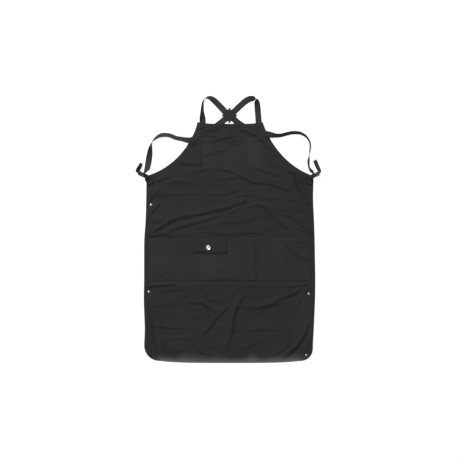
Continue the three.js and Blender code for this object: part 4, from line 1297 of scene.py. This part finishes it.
class Shade:
    """A material's nodes, with short calls for those that the finishes share."""

    def __init__(self, name, roughness, specular):
        self.material = bpy.data.materials.new(name)
        self.material.use_nodes = True
        self.tree = self.material.node_tree
        self.shader = self.tree.nodes["Principled BSDF"]
        self.set("Roughness", roughness)
        self.set("Specular IOR Level", specular)
        self.place = self.add("ShaderNodeTexCoord").outputs["Object"]

    def set(self, name, value):
        self.shader.inputs[name].default_value = value

    def link(self, source, name):
        self.tree.links.new(source, self.shader.inputs[name])

    def add(self, kind, settings=None, values=None, sources=None):
        """A new node, with its settings, the values of its inputs and the sources linked to them."""
        made = self.tree.nodes.new(kind)
        for name, value in (settings or {}).items():
            setattr(made, name, value)
        for name, value in (values or {}).items():
            made.inputs[name].default_value = value
        for name, source in (sources or {}).items():
            self.tree.links.new(source, made.inputs[name])
        return made

    def ramp(self, source, stops, tone=1.0):
        made = self.add("ShaderNodeValToRGB", sources={"Fac": source})
        elements = made.color_ramp.elements
        while len(elements) < len(stops):
            elements.new(0.5)
        for element, (place, grey) in zip(elements, stops):
            element.position = place
            element.color = (grey * tone, grey * tone, grey * tone * BLUE_CAST, 1)
        return made.outputs["Color"]

    def noise(self, scale, detail, source=None):
        place = self.place if source is None else source
        values = {"Scale": scale, "Detail": detail, "Roughness": 0.6}
        return self.add("ShaderNodeTexNoise", values=values, sources={"Vector": place}).outputs["Fac"]

    def wave(self, source, direction, period, distortion):
        settings = {"wave_type": "BANDS", "bands_direction": direction, "wave_profile": "SIN"}
        values = {"Scale": math.pi / 10 / period, "Distortion": distortion, "Detail": 1.5}
        values["Detail Scale"] = 2.0
        return self.add("ShaderNodeTexWave", settings, values, {"Vector": source}).outputs["Fac"]

    def mix(self, factor, first, second, blend="MIX"):
        settings = {"data_type": "RGBA", "blend_type": blend}
        sources = {0: factor, 6: first, 7: second}
        return self.add("ShaderNodeMix", settings, sources=sources).outputs[2]

    def scaled(self, source, low, high):
        values = {"To Min": low, "To Max": high}
        return self.add("ShaderNodeMapRange", values=values, sources={"Value": source}).outputs["Result"]

    def maths(self, operation, sources, value=None):
        values = {} if value is None else {1: value}
        return self.add("ShaderNodeMath", {"operation": operation}, values, sources).outputs[0]

    def bump(self, source, strength, distance, normal=None):
        sources = {"Height": source} if normal is None else {"Height": source, "Normal": normal}
        values = {"Strength": strength, "Distance": distance}
        return self.add("ShaderNodeBump", values=values, sources=sources).outputs["Normal"]

    def attribute(self, name):
        return self.add("ShaderNodeAttribute", {"attribute_name": name}).outputs["Fac"]

    def mapped(self, values):
        made = self.add("ShaderNodeMapping", values=values, sources={"Vector": self.place})
        return made.outputs["Vector"]


def canvas_material(name, tone):
    """Dark cotton canvas: plain weave, slubs, soft wear and a little lint; painted shade darkens the
    creases and a painted highlight lightens the bottom hem.
    """
    shade = Shade(name, roughness=0.9, specular=0.03)
    placed = {"Vector": shade.place}
    warp = shade.wave(shade.place, "X", THREAD_PITCH, distortion=0.5)
    weft = shade.wave(shade.place, "Y", THREAD_PITCH, distortion=0.5)
    checks = shade.add("ShaderNodeTexChecker", values={"Scale": 1 / THREAD_PITCH}, sources=placed)
    weave = shade.mix(checks.outputs["Fac"], warp, weft)
    cloudy = shade.noise(scale=7.0, detail=4.0)
    yarn = shade.noise(scale=420.0, detail=3.0)
    colour = shade.mix(weave, shade.ramp(cloudy, DYED, tone), shade.ramp(yarn, SPUN, tone))
    # Painted shade: the colour is darkened along the creases
    crease = shade.scaled(shade.attribute("crease"), low=0.0, high=0.2)
    colour = shade.mix(crease, colour, shade.ramp(yarn, PAINTED_CREASE_SHADE, tone))
    wear = shade.scaled(shade.attribute("wear"), low=0.0, high=0.5)
    colour = shade.mix(wear, colour, shade.ramp(yarn, WORN, tone))
    # Painted highlight: the bottom hem's rim is painted paler
    colour = shade.mix(shade.attribute("painted_hem_highlight"), colour, shade.ramp(yarn, HEM_HIGHLIGHT_GREYS, tone))
    fluff = shade.add("ShaderNodeTexVoronoi", {"feature": "F1"}, {"Scale": 75.0, "Randomness": 1.0}, placed)
    specks = shade.scaled(shade.ramp(fluff.outputs["Distance"], LINT_SPECKS), low=0.0, high=0.5)
    shade.link(shade.mix(specks, colour, shade.ramp(yarn, LINT)), "Base Color")
    shade.link(shade.scaled(yarn, low=0.8, high=1.0), "Roughness")
    uneven = shade.bump(shade.noise(scale=130.0, detail=3.0), strength=0.25, distance=0.0012)
    shade.link(shade.bump(weave, strength=0.5, distance=0.00035, normal=uneven), "Normal")
    shade.set("Sheen Weight", 0.012)
    shade.set("Sheen Roughness", 0.55)
    return shade.material


def webbing_material(name, tone):
    """Woven strap: ribs across the band, a herringbone along it, and darker towards its edges."""
    shade = Shade(name, roughness=0.7, specular=0.1)
    flat = shade.add("ShaderNodeUVMap", {"uv_map": "weave"}).outputs["UV"]
    split = shade.add("ShaderNodeSeparateXYZ", sources={"Vector": flat}).outputs
    stripe = shade.maths("PINGPONG", {0: split["X"]}, STRIPE_WIDTH)
    lean = shade.maths("MULTIPLY_ADD", {0: stripe, 2: split["Y"]}, STRIPE_LEAN)
    slanted = shade.add("ShaderNodeCombineXYZ", sources={"X": split["X"], "Y": lean}).outputs["Vector"]
    ribs = shade.wave(slanted, "Y", RIB_PITCH, distortion=0.2)
    weave = shade.mix(ribs, shade.wave(flat, "X", YARN_PITCH, distortion=0.3), ribs, "MULTIPLY")
    cloudy = shade.noise(scale=30.0, detail=4.0)
    dark = shade.ramp(cloudy, WEBBING_DARK, tone)
    light = shade.ramp(cloudy, WEBBING_LIGHT, tone)
    outer = shade.maths("ABSOLUTE", {0: split["X"]})
    edge_darkening = shade.add("ShaderNodeMapRange", values=EDGE_DARKENING, sources={"Value": outer}).outputs["Result"]
    edge = shade.ramp(cloudy, WEBBING_EDGE, tone)
    shade.link(shade.mix(edge_darkening, shade.mix(ribs, dark, light), edge), "Base Color")
    shade.link(shade.scaled(cloudy, low=0.6, high=0.85), "Roughness")
    shade.link(shade.bump(weave, strength=0.6, distance=0.0005), "Normal")
    shade.set("Sheen Weight", 0.04)
    shade.set("Sheen Roughness", 0.4)
    return shade.material


def thread_material(name, dark, light):
    """Twisted sewing thread."""
    shade = Shade(name, roughness=0.55, specular=0.3)
    slanted = shade.mapped({"Rotation": (0, 0, math.radians(40))})
    twist = shade.wave(slanted, "X", TWIST_PITCH, distortion=0.4)
    shade.link(shade.ramp(twist, ((0.2, dark), (0.8, light))), "Base Color")
    shade.link(shade.bump(twist, strength=0.6, distance=0.0002), "Normal")
    shade.set("Sheen Weight", 0.1)
    return shade.material


def plastic_material(name, dark, light, roughness, grain, specular):
    """Moulded black plastic with a fine grain and faint scuffs."""
    shade = Shade(name, roughness, specular)
    cloudy = shade.noise(scale=60.0, detail=4.0)
    shade.link(shade.ramp(cloudy, ((0.3, dark), (0.75, light))), "Base Color")
    scuffs = shade.noise(scale=1.0, detail=3.0, source=shade.mapped({"Scale": (900.0, 90.0, 300.0)}))
    shade.link(shade.scaled(scuffs, roughness - 0.08, roughness + 0.1), "Roughness")
    shade.link(shade.bump(shade.noise(scale=1600.0, detail=2.0), grain, distance=0.0002), "Normal")
    return shade.material


def metal_material(name, dark, light, roughness, metallic):
    """Plated metal with a fine turned finish and small marks."""
    shade = Shade(name, roughness, specular=0.5)
    shade.set("Metallic", metallic)
    cloudy = shade.noise(scale=500.0, detail=3.0)
    shade.link(shade.ramp(cloudy, ((0.3, dark), (0.7, light))), "Base Color")
    marks = shade.noise(scale=1800.0, detail=3.0)
    shade.link(shade.scaled(marks, roughness - 0.06, roughness + 0.12), "Roughness")
    shade.link(shade.bump(marks, strength=0.08, distance=0.0002), "Normal")
    return shade.material


canvas = canvas_material("canvas_body", 1.1)
# Painted light: a paler copy of the body canvas for the flat pockets, which catch more light than the
# folded body
lit_pocket_canvas = canvas_material("canvas_pocket_lit", 1.18)
strip_canvas = canvas_material("canvas_strip", 1.27)
webbing = webbing_material("strap_webbing", 1.0)
# Painted shade: a darker copy of the strap webbing for the tabs, which lie in shade at the waist corners
tab_webbing = webbing_material("tab_webbing", 0.72)
dark_thread = thread_material("dark_thread", 0.01, 0.02)
clip_plastic = plastic_material("matte_plastic", 0.010, 0.015, 0.6, 0.25, 0.12)
slider_plastic = plastic_material("gloss_plastic", 0.002, 0.004, 0.24, 0.06, 0.3)
bright_metal = metal_material("bright_nickel", 0.7, 0.86, 0.26, 0.87)
dark_metal = metal_material("dark_nickel", 0.26, 0.38, 0.38, 1.0)
black_metal = metal_material("black_nickel", 0.015, 0.025, 0.55, 1.0)

# Cloth pieces
body = body_cloth(canvas)
panel_grid = pocket_grid(PANEL_BOX, PANEL_SEAMS)
panel = grid_cloth("waist_pocket", panel_grid, panel_parts, PANEL_FOLDS, lit_pocket_canvas)
patch_grid = pocket_grid(PATCH_BOX, PATCH_SEAMS)
patch = grid_cloth("patch_pocket", patch_grid, patch_parts, PATCH_FOLDS, lit_pocket_canvas)
flap_grid = box_grid(FLAP_BOX, FLAP_BOX[:2], FLAP_BOX[2:], FLAP_GRID_STEP)
flap = grid_cloth("pocket_flap", flap_grid, flap_parts, FLAP_FOLDS, canvas)
for pocket in CHEST_POCKETS:
    cloth = lit_pocket_canvas if pocket.node == "chest_pocket" else strip_canvas
    parts = partial(chest_parts, pocket)
    grid_cloth(pocket.node, chest_grid(pocket), parts, CHEST_FOLDS, cloth)

# Straps and tabs
band("left_strap", left_strap_route, webbing)
band("right_strap", right_strap_route, webbing)
for name, slider in slider_frames.items():
    band(name + "_tab", tab_route(slider), tab_webbing)

# Stitches
hem_stitches = Stitching()
hem_ring = inset_ring(HEM_WIDTH - HEM_INSET)
hem_stitches.row(np.concatenate([hem_ring, hem_ring[:1]]), body_top)
for strap_rows in (LEFT_TO_CLIP, RIGHT_TO_CLIP):
    box_stitch(hem_stitches, strap_rows[0][0], STRAP_SEWN_Y, STRAP_SEWN_SIDE, body_top)
hem_stitches.piece("hem_stitches", dark_thread)

pocket_stitches = Stitching()
for inset in SEAM_INSETS:
    pocket_stitches.row(u_seam(PANEL_BOX, inset), panel_top)
    pocket_stitches.row(u_seam(PATCH_BOX, inset), patch_top)
    pocket_stitches.row(u_seam(FLAP_BOX, inset, FLAP_ROW + 1), flap_top)
for depth in MOUTH_ROWS:
    for (left, right, bottom, top), surface in ((PANEL_BOX, panel_top), (PATCH_BOX, patch_top)):
        pocket_stitches.row([(left + MOUTH_ROW_INSET, top - depth), (right - MOUTH_ROW_INSET, top - depth)],
                            surface)
for x in (PATCH_SEAMS[1] - SEAM_INSETS[0], PATCH_SEAMS[1] + SEAM_INSETS[0]):
    pocket_stitches.row([(x, PATCH_BOX[3] - MIDDLE_SEAM_ENDS[1]), (x, PATCH_BOX[2] + MIDDLE_SEAM_ENDS[0])],
                        patch_top)
flap_row_y = FLAP_BOX[3] - FLAP_ROW
pocket_stitches.row([(x, flap_row_y) for x in (FLAP_BOX[0] + FLAP_ROW_INSET, FLAP_BOX[1] - FLAP_ROW_INSET)],
                    flap_top)
for x in (PANEL_BOX[0] + TACK_INSET, PANEL_BOX[1] - TACK_INSET):
    bar_tack(pocket_stitches, x, PANEL_BOX[3] - TACK_DEPTH, panel_top)
bar_tack(pocket_stitches, PATCH_BOX[1] - TACK_INSET, PATCH_BOX[3] - TACK_DEPTH, patch_top)
pocket_stitches.piece("pocket_stitches", dark_thread)

chest_stitches = Stitching()
for pocket in CHEST_POCKETS:
    chest_top = top_of(partial(chest_parts, pocket))
    for inset in SEAM_INSETS:
        chest_stitches.row(u_seam(pocket[1:5], inset), chest_top)
    x = np.linspace(pocket.left + CHEST_ROW_INSET, pocket.right - CHEST_ROW_INSET, CHEST_ROW_PLACES)
    for depth in MOUTH_ROWS:
        chest_stitches.row(np.column_stack([x, chest_mouth(pocket, x)[1] - depth]), chest_top)
chest_stitches.piece("chest_stitches", dark_thread)

# Fasteners
button_z = float(flap_top([BUTTON_PLACE[0]], [BUTTON_PLACE[1]])[0]) + BUTTON_SEAT
button_middle = (*BUTTON_PLACE, button_z)
round_piece("flap_button", BUTTON_PROFILE, button_middle, bright_metal, BUTTON_DIMPLES)
for name, (x, y) in SNAP_PLACES.items():
    snap_z = float(body_top([x], [y])[0]) + SNAP_SEAT
    metal = black_metal if name in BLACK_SNAPS else dark_metal
    round_piece(name, SNAP_PROFILE, (x, y, snap_z), metal)

# Moulded pieces, in metres
CLIP_ROUNDING = 0.0006
SLIDER_ROUNDING = 0.0004
SLIDER_SWELL = 0.001


def round_edges(piece, width):
    rounding = piece.modifiers.new("rounding", "BEVEL")
    rounding.width = width
    rounding.segments = 2
    rounding.limit_method = "ANGLE"


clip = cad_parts["cross_clip"]
clip.data.materials.clear()
clip.data.materials.append(clip_plastic)
round_edges(clip, CLIP_ROUNDING)
for name in ("left_slider", "right_slider"):
    slider_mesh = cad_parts[name].data.copy()
    slider_piece = add_piece(name + "_plastic", slider_mesh, slider_plastic, name)
    round_edges(slider_piece, SLIDER_ROUNDING)
    moulded = slider_piece.modifiers.new("moulded", "DISPLACE")
    moulded.strength = SLIDER_SWELL
    moulded.mid_level = 0.0

# Floor, light and camera, in metres
PHOTO_SPAN = 1.748
PHOTO_CENTRE = (0.0069, -0.0019)
CAMERA_HEIGHT = 4.0
SENSOR = 36.0
FLOOR_HALF = 40
FLOOR_Z = -0.0004
FLOOR_GLOW = 0.93
SKY = 0.33
# place, size across and power of each light
LIGHTS = {"key_light": ((-1.48, 3.4, 4.4), 1.5, 404), "side_light": ((-3.0, 0.6, 3.0), 1.6, 40)}


def floor_material():
    shade = Shade("floor_white", 0.85, 0.2)
    shade.link(shade.ramp(shade.noise(3.0, 3.0), ((0.3, 0.09), (0.7, 0.11))), "Base Color")
    shade.set("Emission Color", (1, 1, 1, 1))
    shade.set("Emission Strength", FLOOR_GLOW)
    return shade.material


floor_mesh = bpy.data.meshes.new("floor")
floor_corners = [(FLOOR_HALF * x, FLOOR_HALF * y, FLOOR_Z) for x, y in ((-1, -1), (1, -1), (1, 1), (-1, 1))]
floor_mesh.from_pydata(floor_corners, [], [(0, 1, 2, 3)])
floor_mesh.materials.append(floor_material())
floor = bpy.data.objects.new("floor", floor_mesh)
bpy.context.scene.collection.objects.link(floor)

for name, (place, size, power) in LIGHTS.items():
    light = bpy.data.lights.new(name, "AREA")
    light.shape = "DISK"
    light.size = size
    light.energy = power
    lamp = bpy.data.objects.new(name, light)
    lamp.location = place
    lamp.rotation_euler = (-Vector(place)).to_track_quat("-Z", "Y").to_euler()
    bpy.context.scene.collection.objects.link(lamp)

world = bpy.data.worlds.new("studio")
world.use_nodes = True
world.node_tree.nodes["Background"].inputs["Color"].default_value = (1, 1, 1, 1)
world.node_tree.nodes["Background"].inputs["Strength"].default_value = SKY
bpy.context.scene.world = world

camera_data = bpy.data.cameras.new("photo_camera")
camera_data.sensor_width = SENSOR
camera_data.lens = SENSOR * CAMERA_HEIGHT / PHOTO_SPAN
camera = bpy.data.objects.new("photo_camera", camera_data)
camera.location = (*PHOTO_CENTRE, CAMERA_HEIGHT)
bpy.context.scene.collection.objects.link(camera)
bpy.context.scene.camera = camera
bpy.context.scene.view_settings.view_transform = "Standard"
bpy.context.scene.view_settings.look = "None"
